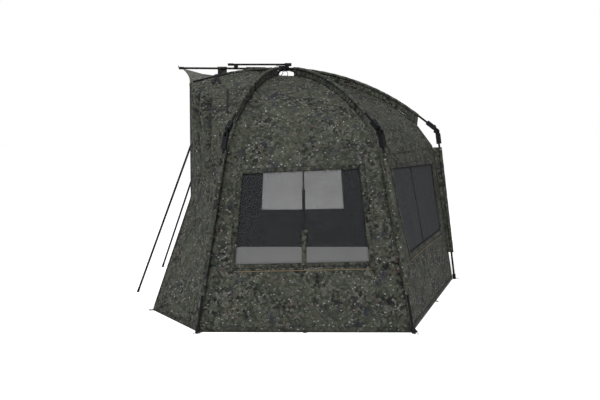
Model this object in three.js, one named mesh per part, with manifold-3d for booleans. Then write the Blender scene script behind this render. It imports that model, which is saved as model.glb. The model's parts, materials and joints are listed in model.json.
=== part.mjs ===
// Pop-up session shelter: a hub with hinged ribs, knuckled legs, storm poles and hung fabric panels.
// Millimetres, +Z up. The doorway faces -Y and the shelter is symmetrical about X = 0.
// The origin is on the ground, at the middle of the shelter's plan.

import * as THREE from 'three';
import { mergeVertices } from 'three/addons/utils/BufferGeometryUtils.js';
import Module from 'manifold-3d';

const wasm = await Module();
wasm.setup();

// ---- driving dimensions ----

const HUB_CENTRE = new THREE.Vector3(0, -20, 1450); // the plane of the pivot ring
const PLAN_SHIFT = -110.04; // moves the plan's middle to the origin
const CLEARANCE = 0.3;

const PIVOT_RADIUS = 28; // from the hub's axis to each rib's hinge
const HUB_RADIUS = 36;
const HUB_TOP = 13;
const HUB_BOTTOM = -14;
const SLOT_WIDTH = 7.2;
const SLOT_INNER_RADIUS = 19;
const SLOT_TOP = 8.5;
const TONGUE_THICKNESS = 6;
const TONGUE_HEIGHT = 12;
const RING_WIRE_RADIUS = 2;
const CAP_THICKNESS = 4;
const BOLT_RADIUS = 4;

const TUBE_RADIUS = 6.75; // ribs, legs and the peak pole
const TUBE_BORE = 5.7;
const FRONT_RIB_RADIUS = 6;
const RIB_START = 18; // tube end to hinge
const RIB_START_SLOPE = THREE.MathUtils.degToRad(-2);

const KNUCKLE_OFFSET = 15; // hinge pin to tube axis
const KNUCKLE_LENGTH = 85;
const KNUCKLE_WIDTH = 24;
const KNUCKLE_BODY_START = 16;
const ELBOW_HEIGHT = 25.6; // how far the tongue and the cheeks rise over the pin, to the outside
const ELBOW_REACH = 9.4; // and how far past the pin they run there
const CHEEK_INNER = 4.5;
const EYE_RADIUS = 11;
const PIN_RADIUS = 3;
const SOCKET_DEPTH = 48;
const BUTTON_RADIUS = 5;
const BUTTON_PLACE = -28; // along the socket, from the hinge pin

const FOOT_RADIUS = 11;
const FOOT_LENGTH = 34;
const FOOT_FLOOR = 6;

// Knuckle and foot of each kind of arm, in plan and height, on the +X side.
const ARMS = {
  front: { knuckle: new THREE.Vector3(995, -300, 1030), foot: new THREE.Vector3(1210, -440, 0) },
  rear: { knuckle: new THREE.Vector3(935, 530, 1040), foot: new THREE.Vector3(1210, 685, 0) },
  centre: { knuckle: new THREE.Vector3(0, 1030, 1035), foot: new THREE.Vector3(0, 1174, 0) },
};
const FRONT_CORNER = new THREE.Vector3(300, -585, 1345); // outer end of each front rib
const FRONT_BEND = new THREE.Vector3(500, -570, 632); // where the wing's edge turns forward
const FRONT_GROUND = new THREE.Vector3(785, -766, 0); // pegged front corner
const PEAK_TIP = new THREE.Vector3(0, -727, 1455);
const PEAK_CAP_LENGTH = 30;

const BAR_FRONT = -397; // front end of the tension bar
const BAR_HEIGHT = 1478.5;
const BAR_THICKNESS = 11;
const BAR_WIDTH = 18;
const BAR_PIVOT = new THREE.Vector3(0, 8, 1478.5);
const BRACKET_REACH = 52; // from the hub's axis, front and rear
const BRACKET_PLATE = 2.5;
const CLIP_LENGTH = 26;

const STORM_FOOT = new THREE.Vector3(375, -957, 0);
const STORM_REACH = 515; // along the front rib's plan, from the hub
const STORM_DROP = 62; // pole's hanging point below the rib's axis, under the fabric
const STORM_LOWER_RADIUS = 6.7;
const STORM_LOWER_BORE = 5.7;
const STORM_UPPER_RADIUS = 5.2;
const STORM_UPPER_BORE = 4.2;
const STORM_JOINT = 320; // along the pole from its hanging point to the top of the lower tube
const STORM_OVERLAP = 120;
const STORM_HEAD = 14; // upper tube above the hanging point
const STORM_PLUG = 30;
const STORM_SHOE_LENGTH = 30;
const STORM_SHOE_WALL = 1;
const COLLAR_RADIUS = 11;
const COLLAR_LENGTH = 46;
const COLLAR_PLACE = 16; // collar's middle, along the lower tube from its top

const STANDOFF = 62; // fabric to pole axis, along ribs and at knuckles
const STANDOFF_GROUND = 20;
const CROWN_RADIUS = 14;
const CROWN_DROP = 48;
const FABRIC_THICKNESS = 2.4;
const HEM_HEIGHT = 3;
const SEAM_GAP = 1.2;
const ROOF_STEPS = 6;
const WALL_STEPS = 4;
const CROSS_STEPS = 3;
const MESH_GAP = 0.5;
const WINDOW_DEPTH = 90; // how far a window cut reaches on each side of the wall

// ---- finishes ----

const FINISHES = {
  camo: { color: 0x34382a, roughness: 0.85, metalness: 0 },
  mesh: { color: 0x2a2c2c, roughness: 0.9, metalness: 0 },
  pole: { color: 0x141517, roughness: 0.42, metalness: 0.6 },
  moulding: { color: 0x17181a, roughness: 0.55, metalness: 0 },
  button: { color: 0x2c2d2f, roughness: 0.5, metalness: 0 },
  steel: { color: 0x55585a, roughness: 0.35, metalness: 0.9 },
};

// ---- solids and booleans ----

function toSolid(geometry) {
  const bare = geometry.index ? geometry.toNonIndexed() : geometry.clone();
  bare.deleteAttribute('normal');
  bare.deleteAttribute('uv');
  const merged = mergeVertices(bare, 1e-3);
  const mesh = new wasm.Mesh({
    numProp: 3,
    vertProperties: new Float32Array(merged.attributes.position.array),
    triVerts: new Uint32Array(merged.index.array),
  });
  return new wasm.Manifold(mesh);
}

function toGeometry(solid) {
  const mesh = solid.getMesh();
  const geometry = new THREE.BufferGeometry();
  geometry.setAttribute('position', new THREE.BufferAttribute(mesh.vertProperties, 3));
  geometry.setIndex(new THREE.BufferAttribute(mesh.triVerts, 1));
  geometry.computeVertexNormals();
  return geometry;
}

function join(...solids) {
  return solids.reduce((whole, solid) => whole.add(solid));
}

function cut(whole, ...tools) {
  return tools.reduce((rest, tool) => rest.subtract(tool), whole);
}

// A box between two corners, in the axes of a placement matrix.
function box(low, high, placement = new THREE.Matrix4()) {
  const size = high.map((value, axis) => value - low[axis]);
  const middle = high.map((value, axis) => (value + low[axis]) / 2);
  const geometry = new THREE.BoxGeometry(...size).translate(...middle);
  return toSolid(geometry.applyMatrix4(placement));
}

// A straight round bar from one point to another.
function rod(from, to, radius, sides = 8) {
  const along = to.clone().sub(from);
  const geometry = new THREE.CylinderGeometry(radius, radius, along.length(), sides);
  const turn = new THREE.Quaternion().setFromUnitVectors(
    new THREE.Vector3(0, 1, 0),
    along.clone().normalize(),
  );
  geometry.applyQuaternion(turn);
  const middle = from.clone().lerp(to, 0.5);
  return toSolid(geometry.translate(middle.x, middle.y, middle.z));
}

// The tool that cuts a bore whose flats clear a round bar of this radius.
function hole(from, to, radius, sides = 10) {
  return rod(from, to, (radius + CLEARANCE) / Math.cos(Math.PI / sides), sides);
}

function tube(from, to, radius, bore, sides = 10) {
  const past = to.clone().sub(from).setLength(1);
  return cut(
    rod(from, to, radius, sides),
    rod(from.clone().sub(past), to.clone().add(past), bore, sides),
  );
}

// A round bar swept through points that lie in one upright plane, with that plane's normal given.
function bentBar(points, normal, radius, sides = 8) {
  const rings = points.map((point, i) => {
    const before = points[Math.max(i - 1, 0)];
    const after = points[Math.min(i + 1, points.length - 1)];
    const forward = after.clone().sub(before).normalize();
    const across = normal.clone().cross(forward);
    return Array.from({ length: sides }, (_, k) => {
      const angle = (2 * Math.PI * k) / sides;
      return point
        .clone()
        .addScaledVector(normal, radius * Math.cos(angle))
        .addScaledVector(across, radius * Math.sin(angle));
    });
  });
  return skin(rings);
}

// A closed solid through loops of points, capped at both ends. Its faces point out either way round.
// With `paired`, the second half of each loop doubles back under the first, and both halves are split
// along the same diagonals, so that the wall between them keeps its thickness where the loops twist.
function skin(loops, paired = false) {
  const width = loops[0].length;
  const triangles = [];
  for (let i = 0; i + 1 < loops.length; i += 1) {
    for (let k = 0; k < width; k += 1) {
      const next = (k + 1) % width;
      const [a, b, c, d] = [loops[i][k], loops[i][next], loops[i + 1][next], loops[i + 1][k]];
      if (paired && k >= width / 2) triangles.push([a, b, d], [b, c, d]);
      else triangles.push([a, b, c], [a, c, d]);
    }
  }
  const last = loops.length - 1;
  for (let k = 1; k + 1 < width; k += 1) {
    triangles.push([loops[0][0], loops[0][k + 1], loops[0][k]]);
    triangles.push([loops[last][0], loops[last][k], loops[last][k + 1]]);
  }
  const volume = triangles.reduce((sum, [a, b, c]) => sum + a.dot(b.clone().cross(c)), 0);
  const facing = volume < 0 ? triangles.map(([a, b, c]) => [a, c, b]) : triangles;
  const positions = facing.flatMap((corners) => corners.flatMap((point) => point.toArray()));
  const geometry = new THREE.BufferGeometry();
  geometry.setAttribute('position', new THREE.Float32BufferAttribute(positions, 3));
  return toSolid(geometry);
}

// ---- the scene graph ----

const group = new THREE.Group();
const shelter = new THREE.Group();
shelter.position.y = PLAN_SHIFT;
group.add(shelter);

function addPart(name, solid, finish) {
  const material = new THREE.MeshStandardMaterial(FINISHES[finish]);
  const mesh = new THREE.Mesh(toGeometry(solid), material);
  mesh.name = name;
  shelter.add(mesh);
  return mesh;
}

// Records a joint on the piece that it moves, in the shelter's own axes.
function setJoint(mesh, name, point, axis) {
  mesh.userData[name] = {
    point: point.clone().add(shelter.position).toArray(),
    axis: axis.clone().normalize().toArray(),
  };
}

// ---- arms: where each rib leaves the hub, and its plane ----

const UP = new THREE.Vector3(0, 0, 1);
const mirrorX = (point) => new THREE.Vector3(-point.x, point.y, point.z);

function armPlane(end) {
  const outward = new THREE.Vector3(end.x - HUB_CENTRE.x, end.y - HUB_CENTRE.y, 0).normalize();
  const pivot = HUB_CENTRE.clone().addScaledVector(outward, PIVOT_RADIUS);
  const hinge = outward.clone().cross(UP.clone().negate());
  return { outward, pivot, hinge };
}

// The rib leaves the hub almost level, bends in one arc, and ends in a straight tail at `end`.
function ribCurve(plane, end, tailLength, steps) {
  const reach = end.clone().sub(plane.pivot).dot(plane.outward);
  const rise = end.z - plane.pivot.z;
  let low = THREE.MathUtils.degToRad(-75);
  let high = RIB_START_SLOPE;
  const chordError = (slope) => {
    const x = reach - tailLength * Math.cos(slope);
    const z = rise - tailLength * Math.sin(slope);
    return Math.atan2(z, x) - (RIB_START_SLOPE + slope) / 2;
  };
  for (let i = 0; i < 60; i += 1) {
    const middle = (low + high) / 2;
    if (chordError(middle) > 0) low = middle;
    else high = middle;
  }
  const slope = (low + high) / 2;
  const chord = Math.hypot(
    reach - tailLength * Math.cos(slope),
    rise - tailLength * Math.sin(slope),
  );
  const bendRadius = chord / (2 * Math.sin((RIB_START_SLOPE - slope) / 2));
  const place = (x, z) => plane.pivot.clone().addScaledVector(plane.outward, x).addScaledVector(UP, z);
  const points = Array.from({ length: steps + 1 }, (_, i) => {
    const angle = RIB_START_SLOPE + ((slope - RIB_START_SLOPE) * i) / steps;
    const x = bendRadius * (Math.sin(RIB_START_SLOPE) - Math.sin(angle));
    const z = bendRadius * (Math.cos(angle) - Math.cos(RIB_START_SLOPE));
    return place(x, z);
  });
  points.push(end.clone());
  return points;
}

// Cuts a path back by a length at its start.
function trimStart(points, length) {
  const direction = points[1].clone().sub(points[0]).normalize();
  return [points[0].clone().addScaledVector(direction, length), ...points.slice(1)];
}

// The flat eye at a rib's inner end, which sits in a hub slot on the pivot ring.
function ribTongue(plane, start) {
  const forward = start.clone().sub(plane.pivot).normalize();
  const above = plane.hinge.clone().cross(forward).negate();
  const frame = new THREE.Matrix4().makeBasis(forward, plane.hinge, above).setPosition(plane.pivot);
  if (frame.determinant() < 0) frame.makeBasis(forward, plane.hinge, above.negate()).setPosition(plane.pivot);
  const half = TONGUE_THICKNESS / 2;
  const tall = TONGUE_HEIGHT / 2;
  const plate = box([-5, -half, -tall], [RIB_START + 14, half, tall], frame);
  const from = plane.pivot.clone().addScaledVector(plane.hinge, -TONGUE_THICKNESS);
  const to = plane.pivot.clone().addScaledVector(plane.hinge, TONGUE_THICKNESS);
  return cut(plate, hole(from, to, RING_WIRE_RADIUS + 0.2, 8));
}

function hollowRib(plane, points, radius, bore) {
  const body = trimStart(points, RIB_START);
  const inside = trimStart(points, RIB_START + 10);
  const past = points[points.length - 1].clone();
  const forward = past.clone().sub(points[points.length - 2]).setLength(2);
  inside[inside.length - 1] = past.add(forward);
  const shell = cut(
    bentBar(body, plane.hinge, radius),
    bentBar(inside, plane.hinge, bore),
  );
  return join(shell, ribTongue(plane, points[1]));
}

// ---- hub ----

const armEnds = {
  rib_front_right: ARMS.front.knuckle,
  rib_front_left: mirrorX(ARMS.front.knuckle),
  rib_rear_right: ARMS.rear.knuckle,
  rib_rear_left: mirrorX(ARMS.rear.knuckle),
  rib_rear_centre: ARMS.centre.knuckle,
  front_rib_right: FRONT_CORNER,
  front_rib_left: mirrorX(FRONT_CORNER),
  peak_pole: PEAK_TIP,
};

function hubPoint(height) {
  return HUB_CENTRE.clone().addScaledVector(UP, height);
}

function pivotRing(wireRadius) {
  const torus = new THREE.TorusGeometry(PIVOT_RADIUS, wireRadius, 6, 24);
  return toSolid(torus.translate(HUB_CENTRE.x, HUB_CENTRE.y, HUB_CENTRE.z));
}

function buildHub() {
  const slots = Object.values(armEnds).map((end) => {
    const plane = armPlane(end);
    const frame = new THREE.Matrix4().makeBasis(plane.outward, UP.clone().cross(plane.outward), UP);
    frame.setPosition(HUB_CENTRE);
    const half = SLOT_WIDTH / 2;
    return box([SLOT_INNER_RADIUS, -half, HUB_BOTTOM - 2], [HUB_RADIUS + 4, half, SLOT_TOP], frame);
  });
  const boltHole = hole(hubPoint(-40), hubPoint(60), BOLT_RADIUS);
  const body = rod(hubPoint(HUB_BOTTOM), hubPoint(HUB_TOP), HUB_RADIUS, 24);
  addPart('hub_body', cut(body, ...slots, pivotRing(RING_WIRE_RADIUS + CLEARANCE), boltHole), 'moulding');
  addPart('hub_pivot_ring', pivotRing(RING_WIRE_RADIUS), 'steel');

  const capBase = HUB_TOP + CLEARANCE;
  const capProfile = [
    [0, 0],
    [HUB_RADIUS - 2, 0],
    [HUB_RADIUS - 2, CAP_THICKNESS - 2],
    [HUB_RADIUS - 6, CAP_THICKNESS],
    [0, CAP_THICKNESS],
  ].map(([x, y]) => new THREE.Vector2(x, y));
  const capShape = new THREE.LatheGeometry(capProfile, 24).rotateX(Math.PI / 2);
  capShape.translate(HUB_CENTRE.x, HUB_CENTRE.y, HUB_CENTRE.z + capBase);
  addPart('hub_cap', cut(toSolid(capShape), boltHole), 'moulding');

  const headTop = HUB_BOTTOM - CLEARANCE;
  const head = rod(hubPoint(headTop - 5), hubPoint(headTop), BOLT_RADIUS * 2, 6);
  const shank = rod(hubPoint(headTop - 2), hubPoint(capBase + CAP_THICKNESS + BRACKET_PLATE), BOLT_RADIUS);
  addPart('hub_bolt', join(head, shank), 'steel');
}

// ---- tension bar over the hub ----

function buildTensionBar() {
  const base = HUB_TOP + CAP_THICKNESS + 2 * CLEARANCE;
  const inner = BAR_WIDTH / 2 + 0.5;
  const outer = inner + BRACKET_PLATE;
  const frame = new THREE.Matrix4().setPosition(HUB_CENTRE);
  const plate = box([-outer, -BRACKET_REACH, base], [outer, BRACKET_REACH, base + BRACKET_PLATE], frame);
  const boltHole = hole(hubPoint(base - 2), hubPoint(base + 20), BOLT_RADIUS);
  const ears = [-1, 1].map((side) => {
    const low = Math.min(side * inner, side * outer);
    const high = Math.max(side * inner, side * outer);
    return box([low, 6, base], [high, BRACKET_REACH, base + 20], frame);
  });
  const acrossHub = new THREE.Vector3(outer + 5, 0, 0);
  const pinHole = hole(BAR_PIVOT.clone().sub(acrossHub), BAR_PIVOT.clone().add(acrossHub), PIN_RADIUS);
  addPart('tension_bracket', cut(join(plate, ...ears), boltHole, pinHole), 'moulding');

  const half = BAR_THICKNESS / 2;
  const wide = BAR_WIDTH / 2;
  const bar = box([-wide, BAR_FRONT, BAR_HEIGHT - half], [wide, BAR_PIVOT.y + half, BAR_HEIGHT + half]);
  const grip = box(
    [-wide - 2, BAR_FRONT - 1, BAR_HEIGHT - half - 2],
    [wide + 2, BAR_FRONT + 36, BAR_HEIGHT + half + 2],
  );
  const pinReach = new THREE.Vector3(outer, 0, 0);
  const pin = rod(BAR_PIVOT.clone().sub(pinReach), BAR_PIVOT.clone().add(pinReach), PIN_RADIUS);
  const lever = addPart('tension_bar', join(bar, grip, pin), 'pole');
  setJoint(lever, 'tension_bar_lift', BAR_PIVOT, new THREE.Vector3(-1, 0, 0));

  const poleHeight = 1452;
  const clipFrame = new THREE.Matrix4().setPosition(0, BAR_FRONT + 40, 0);
  const top = BAR_HEIGHT - half - CLEARANCE;
  const block = box([-13, 0, poleHeight], [13, CLIP_LENGTH, top], clipFrame);
  const polePlane = armPlane(PEAK_TIP);
  const poleSpace = rod(polePlane.pivot, PEAK_TIP, TUBE_RADIUS + 0.6, 12);
  addPart('tension_clip', cut(block, poleSpace), 'moulding');
}

// ---- peak pole and front ribs ----

function buildPeakPole() {
  const plane = armPlane(PEAK_TIP);
  const end = PEAK_TIP.clone().add(new THREE.Vector3(0, 6, 0));
  const direction = end.clone().sub(plane.pivot).normalize();
  const middle = plane.pivot.clone().addScaledVector(direction, 300);
  const solid = hollowRib(plane, [plane.pivot, middle, end], TUBE_RADIUS, TUBE_BORE);
  const pole = addPart('peak_pole', solid, 'pole');
  setJoint(pole, 'peak_pole_fold', plane.pivot, plane.hinge);

  const capEnd = PEAK_TIP.clone().addScaledVector(direction, 4);
  const capStart = PEAK_TIP.clone().addScaledVector(direction, -PEAK_CAP_LENGTH);
  const bore = hole(
    capStart.clone().addScaledVector(direction, -2),
    end.clone().addScaledVector(direction, CLEARANCE),
    TUBE_RADIUS,
  );
  const spur = rod(PEAK_TIP, PEAK_TIP.clone().add(new THREE.Vector3(0, -8, 14)), 3, 8);
  const cap = cut(join(rod(capStart, capEnd, TUBE_RADIUS + 2.2), spur), bore);
  addPart('peak_tip', cap, 'moulding');
}

const FRONT_RIB_TAIL = 150;

function frontRibCurve(end) {
  return ribCurve(armPlane(end), end, FRONT_RIB_TAIL, 5);
}

function buildFrontRib(side, end) {
  const plane = armPlane(end);
  const solid = hollowRib(plane, frontRibCurve(end), FRONT_RIB_RADIUS, FRONT_RIB_RADIUS - 1.2);
  const rib = addPart(`front_rib_${side}`, solid, 'pole');
  setJoint(rib, `front_rib_${side}_fold`, plane.pivot, plane.hinge);
}

// ---- ribs, knuckles, legs and feet ----

const RIB_TAIL = 170;
const RIB_STEPS = 6;

// Two flat frames at a knuckle, both with their origin on the hinge pin: x runs along the rib or
// the leg, y points to the outside of the bend, and z is the pin.
function knuckleFrames(plane, arm) {
  const curve = ribCurve(plane, arm.knuckle, RIB_TAIL, RIB_STEPS);
  const ribWay = arm.knuckle.clone().sub(curve[curve.length - 2]).normalize();
  const legWay = arm.foot.clone().sub(arm.knuckle).normalize();
  const pinAxis = legWay.clone().cross(ribWay.clone().negate()).normalize();
  const inward = legWay.clone().sub(ribWay).normalize();
  const halfAngle = ribWay.clone().negate().angleTo(legWay) / 2;
  const pin = arm.knuckle.clone().addScaledVector(inward, KNUCKLE_OFFSET / Math.sin(halfAngle));
  const makeFrame = (way) => {
    const outside = pinAxis.clone().cross(way).negate();
    const facing = outside.dot(inward) < 0 ? outside : outside.negate();
    const z = way.clone().cross(facing);
    return new THREE.Matrix4().makeBasis(way, facing, z).setPosition(pin);
  };
  return { curve, ribWay, legWay, pinAxis, pin, rib: makeFrame(ribWay), leg: makeFrame(legWay) };
}

function inFrame(frame, x, y, z) {
  return new THREE.Vector3(x, y, z).applyMatrix4(frame);
}

function frameRod(frame, from, to, radius, sides) {
  return rod(inFrame(frame, ...from), inFrame(frame, ...to), radius, sides);
}

function buildSocket(name, frames) {
  const frame = frames.rib;
  const half = KNUCKLE_WIDTH / 2;
  const tongue = CHEEK_INNER - 0.5;
  const high = KNUCKLE_OFFSET * 2;
  const body = box([-KNUCKLE_LENGTH, 0.5, -half], [-KNUCKLE_BODY_START, high, half], frame);
  const web = box(
    [-KNUCKLE_BODY_START - 4, 0.5, -tongue],
    [ELBOW_REACH, ELBOW_HEIGHT, tongue],
    frame,
  );
  const eye = frameRod(frame, [0, 0, -tongue], [0, 0, tongue], EYE_RADIUS, 12);
  const pinHole = hole(inFrame(frame, 0, 0, -half), inFrame(frame, 0, 0, half), PIN_RADIUS);
  const bore = hole(
    inFrame(frame, -KNUCKLE_LENGTH - 2, KNUCKLE_OFFSET, 0),
    inFrame(frame, -KNUCKLE_LENGTH + SOCKET_DEPTH, KNUCKLE_OFFSET, 0),
    TUBE_RADIUS,
  );
  const buttonHole = hole(
    inFrame(frame, BUTTON_PLACE, high - 10, 0),
    inFrame(frame, BUTTON_PLACE, high + 2, 0),
    BUTTON_RADIUS,
  );
  addPart(`knuckle_socket_${name}`, cut(join(body, web, eye), pinHole, bore, buttonHole), 'moulding');

  const buttonFrom = [BUTTON_PLACE, high - 5.5, 0];
  const buttonTo = [BUTTON_PLACE, high + 5, 0];
  const button = addPart(
    `knuckle_button_${name}`,
    frameRod(frame, buttonFrom, buttonTo, BUTTON_RADIUS, 10),
    'button',
  );
  const pressWay = inFrame(frame, 0, -1, 0).sub(inFrame(frame, 0, 0, 0));
  setJoint(button, `knuckle_button_${name}_press`, inFrame(frame, ...buttonTo), pressWay);
}

function buildClevis(name, frames) {
  const frame = frames.leg;
  const half = KNUCKLE_WIDTH / 2;
  const high = KNUCKLE_OFFSET * 2;
  const body = box([KNUCKLE_BODY_START, 0.5, -half], [KNUCKLE_LENGTH, high, half], frame);
  const cheeks = [-1, 1].flatMap((side) => {
    const low = Math.min(side * CHEEK_INNER, side * half);
    const top = Math.max(side * CHEEK_INNER, side * half);
    return [
      box([-ELBOW_REACH, 0.5, low], [KNUCKLE_BODY_START + 4, ELBOW_HEIGHT, top], frame),
      frameRod(frame, [0, 0, low], [0, 0, top], EYE_RADIUS, 12),
    ];
  });
  const pin = frameRod(frame, [0, 0, -half], [0, 0, half], PIN_RADIUS);
  const bore = hole(
    inFrame(frame, KNUCKLE_LENGTH - SOCKET_DEPTH, KNUCKLE_OFFSET, 0),
    inFrame(frame, KNUCKLE_LENGTH + 2, KNUCKLE_OFFSET, 0),
    TUBE_RADIUS,
  );
  const clevis = addPart(`knuckle_clevis_${name}`, cut(join(body, ...cheeks, pin), bore), 'moulding');
  setJoint(clevis, `leg_fold_${name}`, frames.pin, frames.pinAxis);
}

function buildLeg(name, frames, arm) {
  const start = inFrame(frames.leg, KNUCKLE_LENGTH - SOCKET_DEPTH + CLEARANCE, KNUCKLE_OFFSET, 0);
  const below = 60;
  const past = arm.foot.clone().addScaledVector(frames.legWay, below);
  const toGround = box([-3000, -3000, -500], [3000, 3000, 0]);
  const floorPoint = arm.foot.clone().addScaledVector(frames.legWay, -(FOOT_FLOOR + 4));
  addPart(`leg_${name}`, tube(start, floorPoint, TUBE_RADIUS, TUBE_BORE), 'pole');

  const capStart = arm.foot.clone().addScaledVector(frames.legWay, -FOOT_LENGTH);
  const bore = hole(
    capStart.clone().addScaledVector(frames.legWay, -2),
    floorPoint.clone().addScaledVector(frames.legWay, CLEARANCE),
    TUBE_RADIUS,
  );
  addPart(`foot_${name}`, cut(rod(capStart, past, FOOT_RADIUS, 12), toGround, bore), 'moulding');
}

function buildArm(name, side, kind) {
  const source = ARMS[kind];
  const arm = side < 0
    ? { knuckle: mirrorX(source.knuckle), foot: mirrorX(source.foot) }
    : source;
  const plane = armPlane(arm.knuckle);
  const frames = knuckleFrames(plane, arm);
  const seat = KNUCKLE_LENGTH - SOCKET_DEPTH + CLEARANCE;
  const ribEnd = inFrame(frames.rib, -seat, KNUCKLE_OFFSET, 0);
  const points = [...frames.curve.slice(0, -1), ribEnd];
  const rib = addPart(`rib_${name}`, hollowRib(plane, points, TUBE_RADIUS, TUBE_BORE), 'pole');
  setJoint(rib, `rib_fold_${name}`, plane.pivot, plane.hinge);
  buildSocket(name, frames);
  buildClevis(name, frames);
  buildLeg(name, frames, arm);
}

// ---- storm poles ----

function buildStormPole(side, sign) {
  const corner = sign < 0 ? mirrorX(FRONT_CORNER) : FRONT_CORNER;
  const foot = sign < 0 ? mirrorX(STORM_FOOT) : STORM_FOOT;
  const plane = armPlane(corner);
  const curve = frontRibCurve(corner);
  const hubDistance = (point) => Math.hypot(point.x - HUB_CENTRE.x, point.y - HUB_CENTRE.y);
  const after = curve.findIndex((point) => hubDistance(point) > STORM_REACH);
  const from = curve[after - 1];
  const to = curve[after];
  const share = (STORM_REACH - hubDistance(from)) / (hubDistance(to) - hubDistance(from));
  const onRib = from.clone().lerp(to, share);
  const top = onRib.clone().addScaledVector(UP, -STORM_DROP);
  const way = foot.clone().sub(top).normalize();
  const at = (distance) => top.clone().addScaledVector(way, distance);

  const upperEnd = at(STORM_JOINT + STORM_OVERLAP);
  const upperShell = tube(at(-STORM_HEAD), upperEnd, STORM_UPPER_RADIUS, STORM_UPPER_BORE);
  const plug = rod(at(-STORM_HEAD), at(STORM_PLUG - STORM_HEAD), STORM_UPPER_RADIUS - 0.5);
  const upper = addPart(`storm_pole_inner_${side}`, join(upperShell, plug), 'pole');
  setJoint(upper, `storm_pole_swing_${side}`, top, plane.hinge);

  const toGround = box([-3000, -3000, -500], [3000, 3000, 0]);
  const footWay = foot.clone().addScaledVector(way, 40);
  const shoeTop = foot.clone().addScaledVector(way, -STORM_SHOE_LENGTH);
  const lowerShell = tube(at(STORM_JOINT), footWay, STORM_LOWER_RADIUS, STORM_LOWER_BORE);
  const shoe = rod(shoeTop, footWay, STORM_LOWER_RADIUS + STORM_SHOE_WALL);
  const lower = addPart(`storm_pole_outer_${side}`, cut(join(lowerShell, shoe), toGround), 'pole');
  setJoint(lower, `storm_pole_slide_${side}`, foot, way);

  const collarMiddle = STORM_JOINT + COLLAR_PLACE;
  const collar = tube(
    at(collarMiddle - COLLAR_LENGTH / 2),
    at(collarMiddle + COLLAR_LENGTH / 2),
    COLLAR_RADIUS,
    STORM_LOWER_RADIUS + 2 * CLEARANCE,
    12,
  );
  const lock = addPart(`storm_pole_collar_${side}`, collar, 'moulding');
  setJoint(lock, `storm_pole_lock_${side}`, at(collarMiddle), way);
}

// ---- fabric ----

// Points along a seam: ROOF_STEPS spans from the crown to the eave, then WALL_STEPS to the ground.
function seamPoints(roof, wall) {
  const roofCurve = new THREE.CatmullRomCurve3(roof, false, 'centripetal');
  const wallCurve = new THREE.CatmullRomCurve3(wall, false, 'centripetal');
  return [...roofCurve.getSpacedPoints(ROOF_STEPS), ...wallCurve.getSpacedPoints(WALL_STEPS).slice(1)];
}

function crownPoint(plane) {
  return hubPoint(-CROWN_DROP).addScaledVector(plane.outward, CROWN_RADIUS);
}

function armSeam(kind, side) {
  const source = ARMS[kind];
  const arm = side < 0
    ? { knuckle: mirrorX(source.knuckle), foot: mirrorX(source.foot) }
    : source;
  const plane = armPlane(arm.knuckle);
  const frames = knuckleFrames(plane, arm);
  const ribs = frames.curve.slice(1);
  const under = ribs.slice(0, -1).map((point, i) => {
    const forward = ribs[i + 1].clone().sub(point).normalize();
    const down = forward.clone().cross(plane.hinge).normalize();
    if (down.z > 0) down.negate();
    return point.clone().addScaledVector(down, STANDOFF);
  });
  const inward = frames.legWay.clone().sub(frames.ribWay).normalize();
  const eave = arm.knuckle.clone().addScaledVector(inward, STANDOFF * 1.05);
  const flat = (point) => new THREE.Vector3(point.x - HUB_CENTRE.x, point.y - HUB_CENTRE.y, 0).normalize();
  const legPoint = (share, standoff) => arm.knuckle
    .clone()
    .lerp(arm.foot, share)
    .addScaledVector(flat(arm.knuckle), -standoff);
  const ground = legPoint(1, STANDOFF_GROUND);
  ground.z = HEM_HEIGHT;
  return seamPoints(
    [crownPoint(plane), ...under, eave],
    [eave, legPoint(0.2, STANDOFF), legPoint(0.6, STANDOFF * 0.72), ground],
  );
}

const FRONT_STANDOFF = 30;

function frontSeam(side) {
  const place = (point) => (side < 0 ? mirrorX(point) : point.clone());
  const corner = place(FRONT_CORNER);
  const plane = armPlane(corner);
  const drop = new THREE.Vector3(0, 0, -FRONT_STANDOFF);
  const under = frontRibCurve(corner).slice(1, -1).map((point) => point.clone().add(drop));
  const eave = corner.clone().addScaledVector(drop, 0.6);
  const ground = place(FRONT_GROUND);
  ground.z = HEM_HEIGHT;
  return seamPoints(
    [crownPoint(plane), ...under, eave],
    [eave, place(FRONT_BEND).lerp(eave, 0.5), place(FRONT_BEND), place(FRONT_BEND).lerp(ground, 0.5), ground],
  );
}

// A thin closed sheet between two seams, let down in its middle by `sag`.
function sheet(seamA, seamB, sag, crossSteps = CROSS_STEPS) {
  const grid = seamA.map((pointA, i) => {
    const pointB = seamB[i];
    const width = pointA.distanceTo(pointB);
    const inset = Math.min(SEAM_GAP / Math.max(width, 1), 0.2);
    return Array.from({ length: crossSteps + 1 }, (_, k) => {
      const share = inset + ((1 - 2 * inset) * k) / crossSteps;
      return pointA.clone().lerp(pointB, share);
    });
  });
  const rows = grid.length;
  const normals = grid.map((row, i) => row.map((_, k) => {
    const along = grid[Math.min(i + 1, rows - 1)][k].clone().sub(grid[Math.max(i - 1, 0)][k]);
    const across = row[Math.min(k + 1, crossSteps)].clone().sub(row[Math.max(k - 1, 0)]);
    return along.cross(across).normalize();
  }));
  const half = FABRIC_THICKNESS / 2;
  const loops = grid.map((row, i) => {
    const shifted = row.map((point, k) => {
      const share = k / crossSteps;
      const breadth = Math.min(1, row[0].distanceTo(row[crossSteps]) / 600);
      const aboveGround = Math.min(1, (rows - 1 - i) / 2);
      const depth = sag * 4 * share * (1 - share) * breadth * aboveGround;
      return point.clone().addScaledVector(normals[i][k], -depth);
    });
    const upper = shifted.map((point, k) => point.clone().addScaledVector(normals[i][k], half));
    const lower = shifted.map((point, k) => point.clone().addScaledVector(normals[i][k], -half));
    return [...upper, ...lower.reverse()];
  });
  return skin(loops, true);
}

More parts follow.
